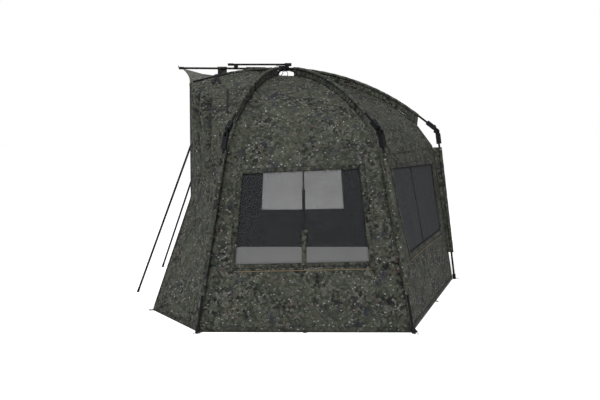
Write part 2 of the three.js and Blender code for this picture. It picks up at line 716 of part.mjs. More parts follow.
// A solid prism through a four-cornered outline, given as plan points and heights.
function windowPrism(corners, through, grow) {
  const middle = corners
    .reduce((sum, point) => sum.add(point), new THREE.Vector3())
    .divideScalar(corners.length);
  const outline = corners.map((point) => {
    const out = point.clone().sub(middle);
    return point.clone().addScaledVector(out.clone().normalize(), grow);
  });
  const near = outline.map((point) => point.clone().addScaledVector(through, -WINDOW_DEPTH));
  const far = outline.map((point) => point.clone().addScaledVector(through, WINDOW_DEPTH));
  return skin([near, far]);
}

// The corners of a window, by share of the way between two legs and by height.
function windowCorners(startFoot, endFoot, startKnuckle, endKnuckle, shape) {
  return shape.map(([share, height]) => {
    const rise = height / startKnuckle.z;
    const start = startFoot.clone().lerp(startKnuckle, rise);
    const end = endFoot.clone().lerp(endKnuckle, rise);
    const point = start.lerp(end, share);
    point.z = height;
    return point;
  });
}

const SIDE_WINDOW = [[0.115, 806], [0.865, 831], [0.845, 341], [0.13, 329]];
const REAR_WINDOW = [[0.18, 825], [0.95, 808], [0.91, 355], [0.215, 343]];

function mirrorSolid(solid) {
  const mesh = solid.getMesh();
  const positions = mesh.vertProperties.map((value, i) => (i % 3 === 0 ? -value : value));
  const triangles = mesh.triVerts.slice();
  for (let i = 0; i < triangles.length; i += 3) {
    [triangles[i + 1], triangles[i + 2]] = [triangles[i + 2], triangles[i + 1]];
  }
  return new wasm.Manifold(new wasm.Mesh({ numProp: 3, vertProperties: positions, triVerts: triangles }));
}

function addBothSides(name, solid, finish) {
  addPart(`${name}_right`, solid, finish);
  addPart(`${name}_left`, mirrorSolid(solid), finish);
}

function addWindowedPanels(panelName, meshName, solid, corners) {
  const edge = corners[1].clone().sub(corners[0]);
  const through = new THREE.Vector3(edge.y, -edge.x, 0).normalize();
  addBothSides(panelName, cut(solid, windowPrism(corners, through, 0)), 'camo');
  addBothSides(meshName, solid.intersect(windowPrism(corners, through, -2 * MESH_GAP)), 'mesh');
}

function buildSidePanels() {
  const { front, rear, centre } = ARMS;
  const frontEdge = frontSeam(1);
  const frontArm = armSeam('front', 1);
  const rearArm = armSeam('rear', 1);
  const centreArm = armSeam('centre', 1);
  addBothSides('front_wing', sheet(frontEdge, frontArm, 10), 'camo');
  addWindowedPanels(
    'side_panel',
    'side_window_mesh',
    sheet(frontArm, rearArm, 16),
    windowCorners(front.foot, rear.foot, front.knuckle, rear.knuckle, SIDE_WINDOW),
  );
  addWindowedPanels(
    'rear_panel',
    'rear_window_mesh',
    sheet(rearArm, centreArm, 14),
    windowCorners(rear.foot, centre.foot, rear.knuckle, centre.knuckle, REAR_WINDOW),
  );
}

const RIDGE_DROP = 26; // fabric ridge below the peak pole's axis

function buildPeakCanopy() {
  const ridge = Array.from({ length: ROOF_STEPS + 1 }, (_, i) => {
    const share = i / ROOF_STEPS;
    const start = hubPoint(-CROWN_DROP).add(new THREE.Vector3(0, -CROWN_RADIUS, 0));
    const end = PEAK_TIP.clone().add(new THREE.Vector3(0, 18, -RIDGE_DROP * 0.7));
    const point = start.clone().lerp(end, share);
    point.z = Math.max(point.z, Math.min(PEAK_TIP.z - RIDGE_DROP, start.z + share * 90));
    return point;
  });
  const right = frontSeam(1).slice(0, ROOF_STEPS + 1);
  const left = frontSeam(-1).slice(0, ROOF_STEPS + 1);
  const halves = [sheet(left, ridge, 0, 2), sheet(ridge, right, 0, 2)];
  const bridge = ridge.map((point) => {
    const half = 3;
    const up = new THREE.Vector3(0, 0, FABRIC_THICKNESS / 2);
    const sideways = new THREE.Vector3(half, 0, 0);
    return [
      point.clone().add(sideways).add(up),
      point.clone().sub(sideways).add(up),
      point.clone().sub(sideways).sub(up),
      point.clone().add(sideways).sub(up),
    ];
  });
  addPart('peak_canopy', join(...halves, skin(bridge)), 'camo');
}

const DOOR = { half: 330, foot: 40, spring: 1020, crown: 1240 };

function doorPrism(grow) {
  const shape = new THREE.Shape();
  const half = DOOR.half + grow;
  shape.moveTo(-half, DOOR.foot - grow);
  shape.lineTo(half, DOOR.foot - grow);
  shape.lineTo(half * 0.78, DOOR.spring);
  shape.quadraticCurveTo(half * 0.7, DOOR.crown + grow, 0, DOOR.crown + grow);
  shape.quadraticCurveTo(-half * 0.7, DOOR.crown + grow, -half * 0.78, DOOR.spring);
  shape.closePath();
  const geometry = new THREE.ExtrudeGeometry(shape, { depth: 600, bevelEnabled: false, curveSegments: 4 });
  return toSolid(geometry.rotateX(Math.PI / 2).translate(0, -250, 0));
}

// The front panel's side edge on the +X side, from under the canopy to the ground.
const FRONT_PANEL_EDGE = [
  new THREE.Vector3(225, -425, 1335),
  new THREE.Vector3(455, -440, 1180),
  new THREE.Vector3(515, -467, 980),
  new THREE.Vector3(500, -510, 640),
  new THREE.Vector3(772, -752, HEM_HEIGHT),
];

function buildFront() {
  const right = new THREE.CatmullRomCurve3(FRONT_PANEL_EDGE, false, 'centripetal').getSpacedPoints(7);
  const solid = sheet(right.map(mirrorX), right, 0, 4);
  addPart('front_panel', cut(solid, doorPrism(0)), 'camo');
  addPart('door_panel', solid.intersect(doorPrism(-1)), 'camo');
}

// ---- assembly ----

buildHub();
buildTensionBar();
buildPeakPole();
buildFrontRib('right', FRONT_CORNER);
buildFrontRib('left', mirrorX(FRONT_CORNER));
buildArm('front_right', 1, 'front');
buildArm('front_left', -1, 'front');
buildArm('rear_right', 1, 'rear');
buildArm('rear_left', -1, 'rear');
buildArm('rear_centre', 1, 'centre');
buildStormPole('right', 1);
buildStormPole('left', -1);
buildSidePanels();
buildPeakCanopy();
buildFront();

export default group;
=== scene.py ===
import json
import math

import bpy
import numpy as np
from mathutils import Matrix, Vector, noise


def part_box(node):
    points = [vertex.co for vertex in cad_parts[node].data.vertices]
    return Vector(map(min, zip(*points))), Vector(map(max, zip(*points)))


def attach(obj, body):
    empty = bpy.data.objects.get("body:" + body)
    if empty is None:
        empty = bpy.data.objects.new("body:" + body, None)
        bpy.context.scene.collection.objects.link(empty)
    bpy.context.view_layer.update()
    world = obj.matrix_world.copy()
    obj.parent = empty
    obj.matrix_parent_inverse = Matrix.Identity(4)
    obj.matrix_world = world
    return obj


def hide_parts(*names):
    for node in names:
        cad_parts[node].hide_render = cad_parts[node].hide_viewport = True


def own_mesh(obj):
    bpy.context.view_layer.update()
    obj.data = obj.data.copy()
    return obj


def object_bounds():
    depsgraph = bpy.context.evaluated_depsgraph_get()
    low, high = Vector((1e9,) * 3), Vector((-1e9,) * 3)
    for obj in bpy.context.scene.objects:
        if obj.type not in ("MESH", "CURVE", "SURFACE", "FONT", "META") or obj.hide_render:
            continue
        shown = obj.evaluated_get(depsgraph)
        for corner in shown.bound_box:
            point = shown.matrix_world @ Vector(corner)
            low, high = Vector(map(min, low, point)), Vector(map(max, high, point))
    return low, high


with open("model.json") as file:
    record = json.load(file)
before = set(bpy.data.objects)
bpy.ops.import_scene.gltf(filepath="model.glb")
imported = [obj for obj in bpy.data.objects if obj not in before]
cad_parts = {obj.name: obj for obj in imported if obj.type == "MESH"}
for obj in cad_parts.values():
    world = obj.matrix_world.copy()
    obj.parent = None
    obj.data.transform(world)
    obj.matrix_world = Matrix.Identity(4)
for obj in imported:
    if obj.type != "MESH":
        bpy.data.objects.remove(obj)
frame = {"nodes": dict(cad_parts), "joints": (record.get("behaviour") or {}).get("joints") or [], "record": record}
cad_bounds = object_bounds()

# ---- places, all read from the frame ----

JOINTS = {joint["name"]: joint for joint in frame["joints"]}
MOUNTS = {mount["name"]: np.array(mount["pos_m"], float) for mount in frame["record"]["mounts"]}
UP = np.array([0.0, 0.0, 1.0])
SIDES = {"right": 1.0, "left": -1.0}


def middle(node):
    low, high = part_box(node)
    return (np.array(low) + np.array(high)) / 2


HUB = middle("hub_pivot_ring")
RING_GAP = 0.012  # rings of a pole's mesh are further apart than this
TONGUE_REACH = 0.062  # inside this reach a rib is a flat eye


def unit(v):
    v = np.asarray(v, float)
    return v / max(np.linalg.norm(v), 1e-9)


def units(vectors):
    """Each vector of an array, at length one."""
    return vectors / np.maximum(np.linalg.norm(vectors, axis=-1, keepdims=True), 1e-9)


def centre_line(node):
    """Ring centres of a pole that runs out from the hub, nearest first."""
    points = np.array([v.co for v in frame["nodes"][node].data.vertices], float)
    reach = np.hypot(points[:, 0] - HUB[0], points[:, 1] - HUB[1])
    order = np.argsort(reach)
    groups = np.split(order, np.where(np.diff(reach[order]) > RING_GAP)[0] + 1)
    rings = [points[g] for g in groups if reach[g].mean() > TONGUE_REACH]
    return np.array([(r.min(0) + r.max(0)) / 2 for r in rings])


def straight_axis(node):
    """A straight tube's axis from its top down to the ground."""
    points = np.array([v.co for v in frame["nodes"][node].data.vertices], float)
    high = points[points[:, 2] > points[:, 2].max() - 0.015].mean(0)
    low = points[points[:, 2] < points[:, 2].min() + 0.015].mean(0)
    ground = low + (low - high) * low[2] / (high[2] - low[2])
    return np.array([high, ground])


def smooth_path(points, count=60):
    """A smooth curve through the points, sampled evenly by length."""
    points = np.asarray(points, float)
    ends = np.vstack([2 * points[0] - points[1], points, 2 * points[-1] - points[-2]])
    out = []
    for i in range(1, len(ends) - 2):
        a, b, c, d = ends[i - 1 : i + 3]
        for t in np.linspace(0, 1, 12, endpoint=False):
            curve = 2 * b + (c - a) * t + (2 * a - 5 * b + 4 * c - d) * t**2 + (3 * b - a - 3 * c + d) * t**3
            out.append(0.5 * curve)
    out.append(points[-1])
    return resample(np.array(out), count)


def lengths(points):
    return np.r_[0, np.cumsum(np.linalg.norm(np.diff(points, axis=0), axis=1))]


def resample(points, count):
    s = lengths(points)
    t = np.linspace(0, s[-1], count)
    return np.stack([np.interp(t, s, points[:, k]) for k in range(3)], 1)


def along(points, share):
    """Points at shares 0..1 of a path's length."""
    s = lengths(points)
    t = np.clip(share, 0, 1) * s[-1]
    return np.stack([np.interp(t, s, points[:, k]) for k in range(3)], -1)


# ---- seams: where the skin hangs from each pole ----

CROWN_DROP = 0.048
CROWN_RADIUS = 0.016
STANDOFF = 0.046
CORNER_CUT_ROOF = 0.89  # share along the rib where the skin leaves it, short of the knuckle
LEG_WEB_TOP = 0.92  # heights of the leg sleeve's ends
LEG_WEB_BOTTOM = 0.19
STANDOFF_GROUND = 0.014
FRONT_STANDOFF = 0.003
RIB_POCKET = 0.024  # cloth past the end of each front rib
WING_BEND = np.array([0.500, -0.560, -0.818])  # from the hub: where the wing turns forward


class Arm:
    """One rib and its leg, with the skin's seam inside them."""

    def __init__(self, name):
        self.name = name
        self.knuckle = np.array(JOINTS["leg_fold_" + name]["pos_m"], float)
        self.foot = MOUNTS["ground_foot_" + name]
        self.out = unit((self.knuckle - HUB) * [1, 1, 0])
        self.tangent = np.cross(UP, self.out)
        start = HUB + self.out * 0.028
        self.rib = smooth_path(np.vstack([start, centre_line("rib_" + name)]), 80)
        self.leg = straight_axis("leg_" + name)
        steps = np.gradient(self.rib, axis=0)
        inward = np.array([unit(np.cross(self.tangent, s)) for s in steps])
        inward *= np.sign(-inward[:, 2:3])
        share = np.linspace(0, 1, len(self.rib))
        depth = CROWN_DROP + (STANDOFF - CROWN_DROP) * np.clip(share * 3, 0, 1)
        roof = self.rib + inward * depth[:, None]
        crown = HUB + self.out * CROWN_RADIUS - UP * CROWN_DROP
        keep = share < CORNER_CUT_ROOF
        fall = np.linspace(0, 1, 60)
        gap = STANDOFF + (STANDOFF_GROUND - STANDOFF) * fall
        wall = self.leg[0] * (1 - fall)[:, None] + self.leg[1] * fall[:, None] - self.out * gap[:, None]
        start = np.abs(wall[:, 2] - LEG_WEB_TOP).argmin()
        eave = (roof[keep][-1] + wall[start]) / 2
        hung = smooth_path(np.vstack([crown, roof[keep][4::9], roof[keep][-1]]), 80)
        self.roof = resample(np.vstack([hung, eave]), 90)
        self.wall = np.vstack([eave, wall[start:]])


class FrontEdge:
    """The front rib's seam and the wing's free edge below it."""

    def __init__(self, side):
        sign = SIDES[side]
        rib = centre_line("front_rib_" + side)
        start = HUB + unit((rib[-1] - HUB) * [1, 1, 0]) * 0.028
        self.rib = smooth_path(np.vstack([start, rib]), 60)
        self.out = unit((rib[-1] - HUB) * [1, 1, 0])
        self.tangent = np.cross(UP, self.out)
        crown = HUB + self.out * CROWN_RADIUS - UP * CROWN_DROP
        drop = FRONT_STANDOFF + (CROWN_DROP - FRONT_STANDOFF) * np.clip(1 - np.linspace(0, 3, 60), 0, 1)
        roof = self.rib - UP * drop[:, None]
        self.roof = smooth_path(np.vstack([crown, roof[6::9], roof[-1]]), 60)
        self.roof = resample(np.vstack([self.roof, self.roof[-1] + self.out * RIB_POCKET]), 60)
        top = self.roof[-1]
        panel = np.array([v.co for v in frame["nodes"]["front_wing_" + side].data.vertices], float)
        ground = panel[panel[:, 2] < 0.02]
        corner = ground[ground[:, 1].argmin()] * [1, 1, 0]
        bend = HUB + WING_BEND * [sign, 1, 1]
        self.ground = corner
        self.wall = resample(np.vstack([top, bend, corner]), 90)
        self.sign = sign


ARMS = {name: Arm(name) for name in ("front_right", "front_left", "rear_right", "rear_left", "rear_centre")}
EDGES = {side: FrontEdge(side) for side in SIDES}


# ---- materials ----


def node_material(name):
    material = bpy.data.materials.new(name)
    material.use_nodes = True
    tree = material.node_tree
    tree.nodes.clear()
    return material, tree


def add(tree, kind, **values):
    node = tree.nodes.new(kind)
    for key, value in values.items():
        if key.startswith("in_"):
            node.inputs[key[3:].replace("_", " ")].default_value = value
        else:
            setattr(node, key, value)
    return node


def link(tree, a, b):
    tree.links.new(a, b)


def maths(tree, operation, *values):
    """A maths node whose inputs are sockets or plain numbers."""
    node = add(tree, "ShaderNodeMath", operation=operation)
    for socket, value in zip(node.inputs, values):
        if isinstance(value, float):
            socket.default_value = value
        else:
            link(tree, value, socket)
    return node.outputs[0]


def ramp(tree, factor, stops, mode="LINEAR"):
    """stops are (place, tone), where a tone is a colour or one grey number."""
    node = tree.nodes.new("ShaderNodeValToRGB")
    node.color_ramp.interpolation = mode
    elements = node.color_ramp.elements
    while len(elements) < len(stops):
        elements.new(0.5)
    for element, (place, colour) in zip(elements, stops):
        element.position = place
        element.color = (*(colour if isinstance(colour, tuple) else (colour,) * 3), 1)
    link(tree, factor, node.inputs["Fac"])
    return node.outputs["Color"]


def mix(tree, factor, a, b, mode="MIX"):
    node = add(tree, "ShaderNodeMix", data_type="RGBA", blend_type=mode)
    if isinstance(factor, float):
        node.inputs[0].default_value = factor
    else:
        link(tree, factor, node.inputs[0])
    for socket, value in ((node.inputs[6], a), (node.inputs[7], b)):
        if isinstance(value, tuple):
            socket.default_value = (*value, 1)
        else:
            link(tree, value, socket)
    return node.outputs[2]


def show(tree, shader):
    link(tree, shader, add(tree, "ShaderNodeOutputMaterial").inputs["Surface"])


def fine_noise(tree, vector, scale, detail=3.0, rough=0.55):
    node = add(tree, "ShaderNodeTexNoise", in_Scale=scale, in_Detail=detail, in_Roughness=rough)
    link(tree, vector, node.inputs["Vector"])
    return node.outputs["Fac"]


CAMO_TINT = (0.476, 0.470, 0.538)
WEAVE_SCALE = 900.0
CREASE_OVER_WEAVE = 6.0  # how much higher the cloth's creases are than its weave
VALLEY_PAINTED_SHADE = 0.20  # painted shade: the share of the cloth's own tone left at the bottom of a deep fold


def shade(rgb, gain=1.0):
    return tuple(c * gain * tint for c, tint in zip(rgb, CAMO_TINT))


def camo_material(name, gain=1.0, sheen=0.0):
    """Small-scale leaf-and-twig camouflage on a coated weave, with painted shade at the bottoms of fold valleys.
    """
    material, tree = node_material(name)
    uv = add(tree, "ShaderNodeUVMap", uv_map="UVMap").outputs["UV"]
    printed = add(tree, "ShaderNodeAttribute", attribute_name="printed").outputs["Vector"]
    wobble = add(tree, "ShaderNodeTexNoise", in_Scale=26.0, in_Detail=3.0)
    link(tree, printed, wobble.inputs["Vector"])
    shift = add(tree, "ShaderNodeVectorMath", operation="SCALE")
    shift.inputs["Scale"].default_value = 0.035
    link(tree, wobble.outputs["Color"], shift.inputs[0])
    warped = add(tree, "ShaderNodeVectorMath", operation="ADD")
    link(tree, printed, warped.inputs[0])
    link(tree, shift.outputs[0], warped.inputs[1])
    place = warped.outputs[0]

    cells = add(tree, "ShaderNodeTexVoronoi", in_Scale=70.0, in_Randomness=1.0)
    link(tree, place, cells.inputs["Vector"])
    tone = add(tree, "ShaderNodeSeparateColor")
    link(tree, cells.outputs["Color"], tone.inputs[0])
    patches = [
        (0.0, shade((0.012, 0.013, 0.010), gain)),
        (0.22, shade((0.034, 0.038, 0.028), gain)),
        (0.46, shade((0.074, 0.081, 0.052), gain)),
        (0.74, shade((0.128, 0.128, 0.098), gain)),
        (0.93, shade((0.090, 0.068, 0.050), gain)),
    ]
    base = ramp(tree, tone.outputs["Red"], patches, "CONSTANT")
    mottled = mix(
        tree,
        ramp(tree, fine_noise(tree, place, 7.5, 3.0), [(0.40, 0), (0.60, 1)]),
        base,
        mix(tree, 0.5, base, shade((0.088, 0.098, 0.062), gain)),
    )
    slate = ramp(tree, fine_noise(tree, place, 11.0, 4.0, 0.6), [(0.57, 0), (0.64, 1)])
    blotched = mix(tree, slate, mottled, mix(tree, 0.62, mottled, shade((0.030, 0.033, 0.042), gain)))

    twigs = add(tree, "ShaderNodeTexVoronoi", feature="DISTANCE_TO_EDGE", in_Scale=30.0)
    link(tree, place, twigs.inputs["Vector"])
    twig_mask = ramp(tree, twigs.outputs["Distance"], [(0.0, 1), (0.045, 0)])
    twigged = mix(tree, twig_mask, blotched, mix(tree, 0.45, blotched, shade((0.020, 0.022, 0.018), gain)))

    stretch = add(tree, "ShaderNodeMapping")
    stretch.inputs["Scale"].default_value = (1.0, 1.0, 1.9)
    stretch.inputs["Rotation"].default_value = (0.5, 0.3, 0)
    link(tree, place, stretch.inputs["Vector"])
    flecks = add(tree, "ShaderNodeTexVoronoi", in_Scale=52.0, in_Randomness=1.0)
    link(tree, stretch.outputs[0], flecks.inputs["Vector"])
    pick = add(tree, "ShaderNodeSeparateColor")
    link(tree, flecks.outputs["Color"], pick.inputs[0])
    chosen = ramp(tree, pick.outputs["Green"], [(0.0, 0), (0.78, 0), (0.80, 1)])
    near = ramp(tree, flecks.outputs["Distance"], [(0.16, 1), (0.30, 0)])
    fleck_mask = mix(tree, 1.0, chosen, near, "MULTIPLY")
    coloured = mix(tree, fleck_mask, twigged, shade((0.42, 0.42, 0.36), gain))
    speck = ramp(tree, fine_noise(tree, printed, 170.0, 2.0, 0.7), [(0.32, 0.56), (0.68, 1.44)])
    speckled = mix(tree, 1.0, coloured, speck, "MULTIPLY")
    grime = fine_noise(tree, printed, 2.2, 2.0)
    final = mix(tree, 1.0, speckled, ramp(tree, grime, [(0.3, 0.86), (0.7, 1.1)]), "MULTIPLY")

    # painted shade: the cloth is darkened by the depth of the fold valley it lies in
    crease_depth = add(tree, "ShaderNodeAttribute", attribute_name="crease").outputs["Fac"]
    shadow = ramp(tree, crease_depth, [(0.1, 1), (0.95, VALLEY_PAINTED_SHADE)])
    final = mix(tree, 1.0, final, shadow, "MULTIPLY")

    warp = add(tree, "ShaderNodeTexWave", bands_direction="X", in_Scale=WEAVE_SCALE / 6.28)
    weft = add(tree, "ShaderNodeTexWave", bands_direction="Y", in_Scale=WEAVE_SCALE / 6.28)
    for wave in (warp, weft):
        link(tree, uv, wave.inputs["Vector"])
    weave = maths(tree, "MULTIPLY", warp.outputs["Fac"], weft.outputs["Fac"])
    crease = fine_noise(tree, uv, 18.0, 4.0)
    height = maths(tree, "MULTIPLY_ADD", crease, CREASE_OVER_WEAVE, weave)
    bump = add(tree, "ShaderNodeBump", in_Strength=0.35, in_Distance=0.0006)
    link(tree, height, bump.inputs["Height"])

    skin = add(tree, "ShaderNodeBsdfPrincipled", in_Roughness=0.85)
    skin.inputs["Sheen Weight"].default_value = sheen
    skin.inputs["Specular IOR Level"].default_value = 0.14
    link(tree, final, skin.inputs["Base Color"])
    link(tree, bump.outputs["Normal"], skin.inputs["Normal"])
    rough = ramp(tree, crease, [(0.3, 0.78), (0.7, 0.92)])
    link(tree, rough, skin.inputs["Roughness"])
    show(tree, skin.outputs[0])
    return material


SIDE_NET_PASS = 0.640  # light through one face of the mesh; a panel has two
REAR_NET_PASS = 0.50
NET_UNEVEN = 0.015
LEAST_FACING = 0.12  # keeps the path through a net seen edge-on from growing without end


def mesh_material(name, clear_share):
    """Fine black insect mesh: part see-through, with the yarn's own dull sheen."""
    material, tree = node_material(name)
    uv = add(tree, "ShaderNodeUVMap", uv_map="UVMap").outputs["UV"]
    uneven = fine_noise(tree, uv, 5.0, 3.0)
    yarn = add(tree, "ShaderNodeBsdfPrincipled", in_Roughness=0.8)
    mottle = fine_noise(tree, uv, 60.0, 2.0)
    tint = ramp(tree, mottle, [(0.3, (0.026, 0.027, 0.029)), (0.7, (0.034, 0.035, 0.038))])
    link(tree, tint, yarn.inputs["Base Color"])
    yarn.inputs["Specular IOR Level"].default_value = 0.04
    clear = add(tree, "ShaderNodeBsdfTransparent")
    clarity = ramp(tree, uneven, [(0.3, clear_share - NET_UNEVEN), (0.7, clear_share + NET_UNEVEN)])
    geometry = add(tree, "ShaderNodeNewGeometry")
    slant = add(tree, "ShaderNodeVectorMath", operation="DOT_PRODUCT")
    link(tree, geometry.outputs["Incoming"], slant.inputs[0])
    link(tree, geometry.outputs["Normal"], slant.inputs[1])
    facing = maths(tree, "ABSOLUTE", slant.outputs["Value"])
    longer = maths(tree, "DIVIDE", 1.0, maths(tree, "MAXIMUM", facing, LEAST_FACING))
    amount = maths(tree, "POWER", clarity, longer)
    blend = add(tree, "ShaderNodeMixShader")
    link(tree, amount, blend.inputs[0])
    link(tree, yarn.outputs[0], blend.inputs[1])
    link(tree, clear.outputs[0], blend.inputs[2])
    show(tree, blend.outputs[0])
    return material


def hard_material(name, colour, rough, metal=0.0, grain=260.0, bump_depth=0.0002, edge_wear_and_highlight=0.25):
    """Moulded plastic, coated tube or plated steel, with grain, and lighter edges that are partly wear and partly
    painted highlight.
    """
    material, tree = node_material(name)
    place = add(tree, "ShaderNodeTexCoord").outputs["Object"]
    grains = fine_noise(tree, place, grain, 4.0)
    scuffs = fine_noise(tree, place, 34.0, 5.0, 0.7)
    geometry = add(tree, "ShaderNodeNewGeometry")
    # lighter convex edges: partly wear, partly a painted highlight
    edge = ramp(tree, geometry.outputs["Pointiness"], [(0.52, 0), (0.60, edge_wear_and_highlight)])
    wear_and_highlight = tuple(min(1.0, c * 2.0 + 0.006) for c in colour)
    tone = mix(tree, edge, colour, wear_and_highlight)
    dust = ramp(tree, scuffs, [(0.55, 0), (0.75, 0.35)])
    dusty = mix(tree, dust, tone, tuple(c * 1.4 + 0.0015 for c in colour))
    body = add(tree, "ShaderNodeBsdfPrincipled", in_Metallic=metal)
    body.inputs["Specular IOR Level"].default_value = 0.5 if metal else 0.10
    link(tree, dusty, body.inputs["Base Color"])
    spread = ramp(tree, scuffs, [(0.3, max(rough - 0.1, 0.05)), (0.7, min(rough + 0.12, 1.0))])
    link(tree, spread, body.inputs["Roughness"])
    bump = add(tree, "ShaderNodeBump", in_Strength=0.4, in_Distance=bump_depth)
    link(tree, grains, bump.inputs["Height"])
    link(tree, bump.outputs["Normal"], body.inputs["Normal"])
    show(tree, body.outputs[0])
    return material


CLOTH = (camo_material("camo_cloth"), "camo_fabric")
TAPE = (camo_material("camo_tape", 0.8), "camo_fabric")
CANOPY = (camo_material("camo_canopy", 1.5, 0.1), "camo_fabric")
SIDE_NET = mesh_material("side_window_net", SIDE_NET_PASS)
REAR_NET = mesh_material("rear_window_net", REAR_NET_PASS)
FINISH = {
    "black_pole": hard_material("black_pole", (0.0025, 0.0025, 0.003), 0.5, 0.0, 180.0),
    "black_moulding": hard_material("black_moulding", (0.0035, 0.0038, 0.0045), 0.6, 0.0, 520.0, 0.0003),
    "release_button": hard_material("release_button", (0.020, 0.021, 0.024), 0.5),
    "zinc_steel": hard_material("zinc_steel", (0.42, 0.43, 0.44), 0.32, 0.9),
}
WEBBING = hard_material("black_webbing", (0.014, 0.014, 0.016), 0.85, 0.0, 900.0, 0.0005)
THREAD = hard_material("tan_thread", (0.105, 0.078, 0.048), 0.8, 0.0, 900.0, 0.0003)
ELASTIC = hard_material("elastic_cord", (0.02, 0.02, 0.022), 0.75, 0.0, 900.0, 0.0005)

slots = {part["node"]: part["material_slot"] for part in frame["record"]["subparts"]}
for name, node in frame["nodes"].items():
    if slots[name] in FINISH:
        node.data.materials.clear()
        node.data.materials.append(FINISH[slots[name]])
        for polygon in node.data.polygons:
            polygon.material_index = 0


# ---- mesh building ----


PATTERN_SHIFT = np.array([3.1, 1.7, 0.9])  # trims take the pattern from elsewhere on the bolt


def new_piece(name, verts, faces, uvs, material, slot, body, shift):
    """shift moves the printed pattern, so that neighbouring panels don't match up."""
    mesh = bpy.data.meshes.new(name)
    mesh.from_pydata([tuple(v) for v in verts], [], faces)
    printed = mesh.attributes.new("printed", "FLOAT_VECTOR", "POINT")
    printed.data.foreach_set("vector", (np.asarray(verts) + shift).astype(np.float32).ravel())
    layer = mesh.uv_layers.new(name="UVMap")
    index = np.empty(len(mesh.loops), int)
    mesh.loops.foreach_get("vertex_index", index)
    uvs = np.asarray(uvs, np.float32)
    layer.data.foreach_set("uv", uvs[index, :2].ravel())
    # a third uv column is fold-valley depth, kept as the crease attribute from which the cloth's material paints
    # shade
    if uvs.shape[1] > 2:
        crease = mesh.attributes.new("crease", "FLOAT", "POINT")
        crease.data.foreach_set("value", uvs[:, 2].ravel())
    mesh.materials.append(material)
    mesh.polygons.foreach_set("use_smooth", [True] * len(mesh.polygons))
    mesh.update()
    obj = bpy.data.objects.new(name, mesh)
    bpy.context.scene.collection.objects.link(obj)
    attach(obj, body)
    return obj


def grid_normals(points):
    return units(np.cross(np.gradient(points, axis=1), np.gradient(points, axis=0)))


def shell(points, uv, keep, thickness, outward_from):
    """A closed thin sheet over the kept quads of a grid. points is rows x columns x 3."""
    rows, columns, _ = points.shape
    normals = grid_normals(points)
    away = points - np.asarray(outward_from)
    flip = (normals * away).sum() < 0
    if flip:
        normals = -normals
    outer = points.reshape(-1, 3)
    inner = (points - normals * thickness).reshape(-1, 3)
    total = rows * columns
    verts = np.vstack([outer, inner])
    uvs = np.vstack([uv.reshape(-1, uv.shape[-1])] * 2)
    faces = []
    for r in range(rows - 1):
        for c in range(columns - 1):
            if not keep[r, c]:
                continue
            a, b = r * columns + c, r * columns + c + 1
            d, e = (r + 1) * columns + c, (r + 1) * columns + c + 1
            quad = [a, b, e, d] if flip else [a, d, e, b]
            faces.append(tuple(quad))
            faces.append(tuple(total + k for k in reversed(quad)))
            for other, p, q in (
                (r > 0 and keep[r - 1, c], a, b),
                (r < rows - 2 and keep[r + 1, c], e, d),
                (c > 0 and keep[r, c - 1], d, a),
                (c < columns - 2 and keep[r, c + 1], b, e),
            ):
                if not other:
                    side = (p, q, total + q, total + p)
                    faces.append(side if not flip else tuple(reversed(side)))
    used = sorted({k for f in faces for k in f})
    remap = {k: i for i, k in enumerate(used)}
    return verts[used], [tuple(remap[k] for k in f) for f in faces], uvs[used]


def ribbon(path, facing, width, thickness):
    """A flat closed band along a path, with its face turned to facing at each point."""
    path = np.asarray(path, float)
    facing = np.asarray(facing, float)
    way = units(np.gradient(path, axis=0))
    across = units(np.cross(facing, way))
    up = np.cross(way, across)
    half = width / 2
    corners = [
        path - across * half + up * thickness,
        path + across * half + up * thickness,
        path + across * half - up * thickness * 0.2,
        path - across * half - up * thickness * 0.2,
    ]
    s = lengths(path)
    return loft(corners, [np.stack([s, np.full_like(s, k * width)], 1) for k in (0, 1, 1.1, -0.1)])


def loft(rails, rail_uvs):
    """A closed prism whose corners run along rails, capped at both ends."""
    count = len(rails)
    steps = len(rails[0])
    verts = np.stack(rails, 1).reshape(-1, 3)
    uvs = np.stack(rail_uvs, 1).reshape(-1, 2)
    faces = []
    for i in range(steps - 1):
        for k in range(count):
            a, b = i * count + k, i * count + (k + 1) % count
            faces.append((a, b, b + count, a + count))
    faces.append(tuple(reversed(range(count))))
    faces.append(tuple((steps - 1) * count + k for k in range(count)))
    return verts, faces, uvs


def pipe(path, radius, sides=12):
    path = np.asarray(path, float)
    way = units(np.gradient(path, axis=0))
    guide = UP if abs(way[0][2]) < 0.9 else np.array([1.0, 0, 0])
    a = units(np.cross(way, guide))
    b = np.cross(way, a)
    radius = np.broadcast_to(np.asarray(radius, float), (len(path),))[:, None]
    s = lengths(path)
    rails, uvs = [], []
    for k in range(sides):
        turn = 2 * math.pi * k / sides
        rails.append(path + (a * math.cos(turn) + b * math.sin(turn)) * radius)
        uvs.append(np.stack([np.full_like(s, turn * float(radius.mean())), s], 1))
    return loft(rails, uvs)


def loop(centre, axis, radius, wire, sides=28):
    a = unit(np.cross(axis, UP if abs(unit(axis)[2]) < 0.9 else [1.0, 0, 0]))
    b = np.cross(unit(axis), a)
    t = np.linspace(0, 2 * math.pi, sides)[:, None]
    return pipe(centre + (a * np.cos(t) + b * np.sin(t)) * radius, wire, 8)


def merge(*parts):
    verts, faces, uvs, base = [], [], [], 0
    for v, f, u in parts:
        verts.append(v)
        uvs.append(u)
        faces += [tuple(k + base for k in face) for face in f]
        base += len(v)
    return np.vstack(verts), faces, np.vstack(uvs)


def add_part(name, built, material, slot, body, fold=None, replaced=(), shift=PATTERN_SHIFT):
    """fold is (axis, anchor, keep), given for cloth on a folding part; only whether it is given is used: such a
    piece gets its own copy of its mesh.
    """
    obj = new_piece(name, *built, material, slot, body, shift)
    if fold is not None:
        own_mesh(obj)
    if replaced:
        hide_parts(*replaced)
    return obj


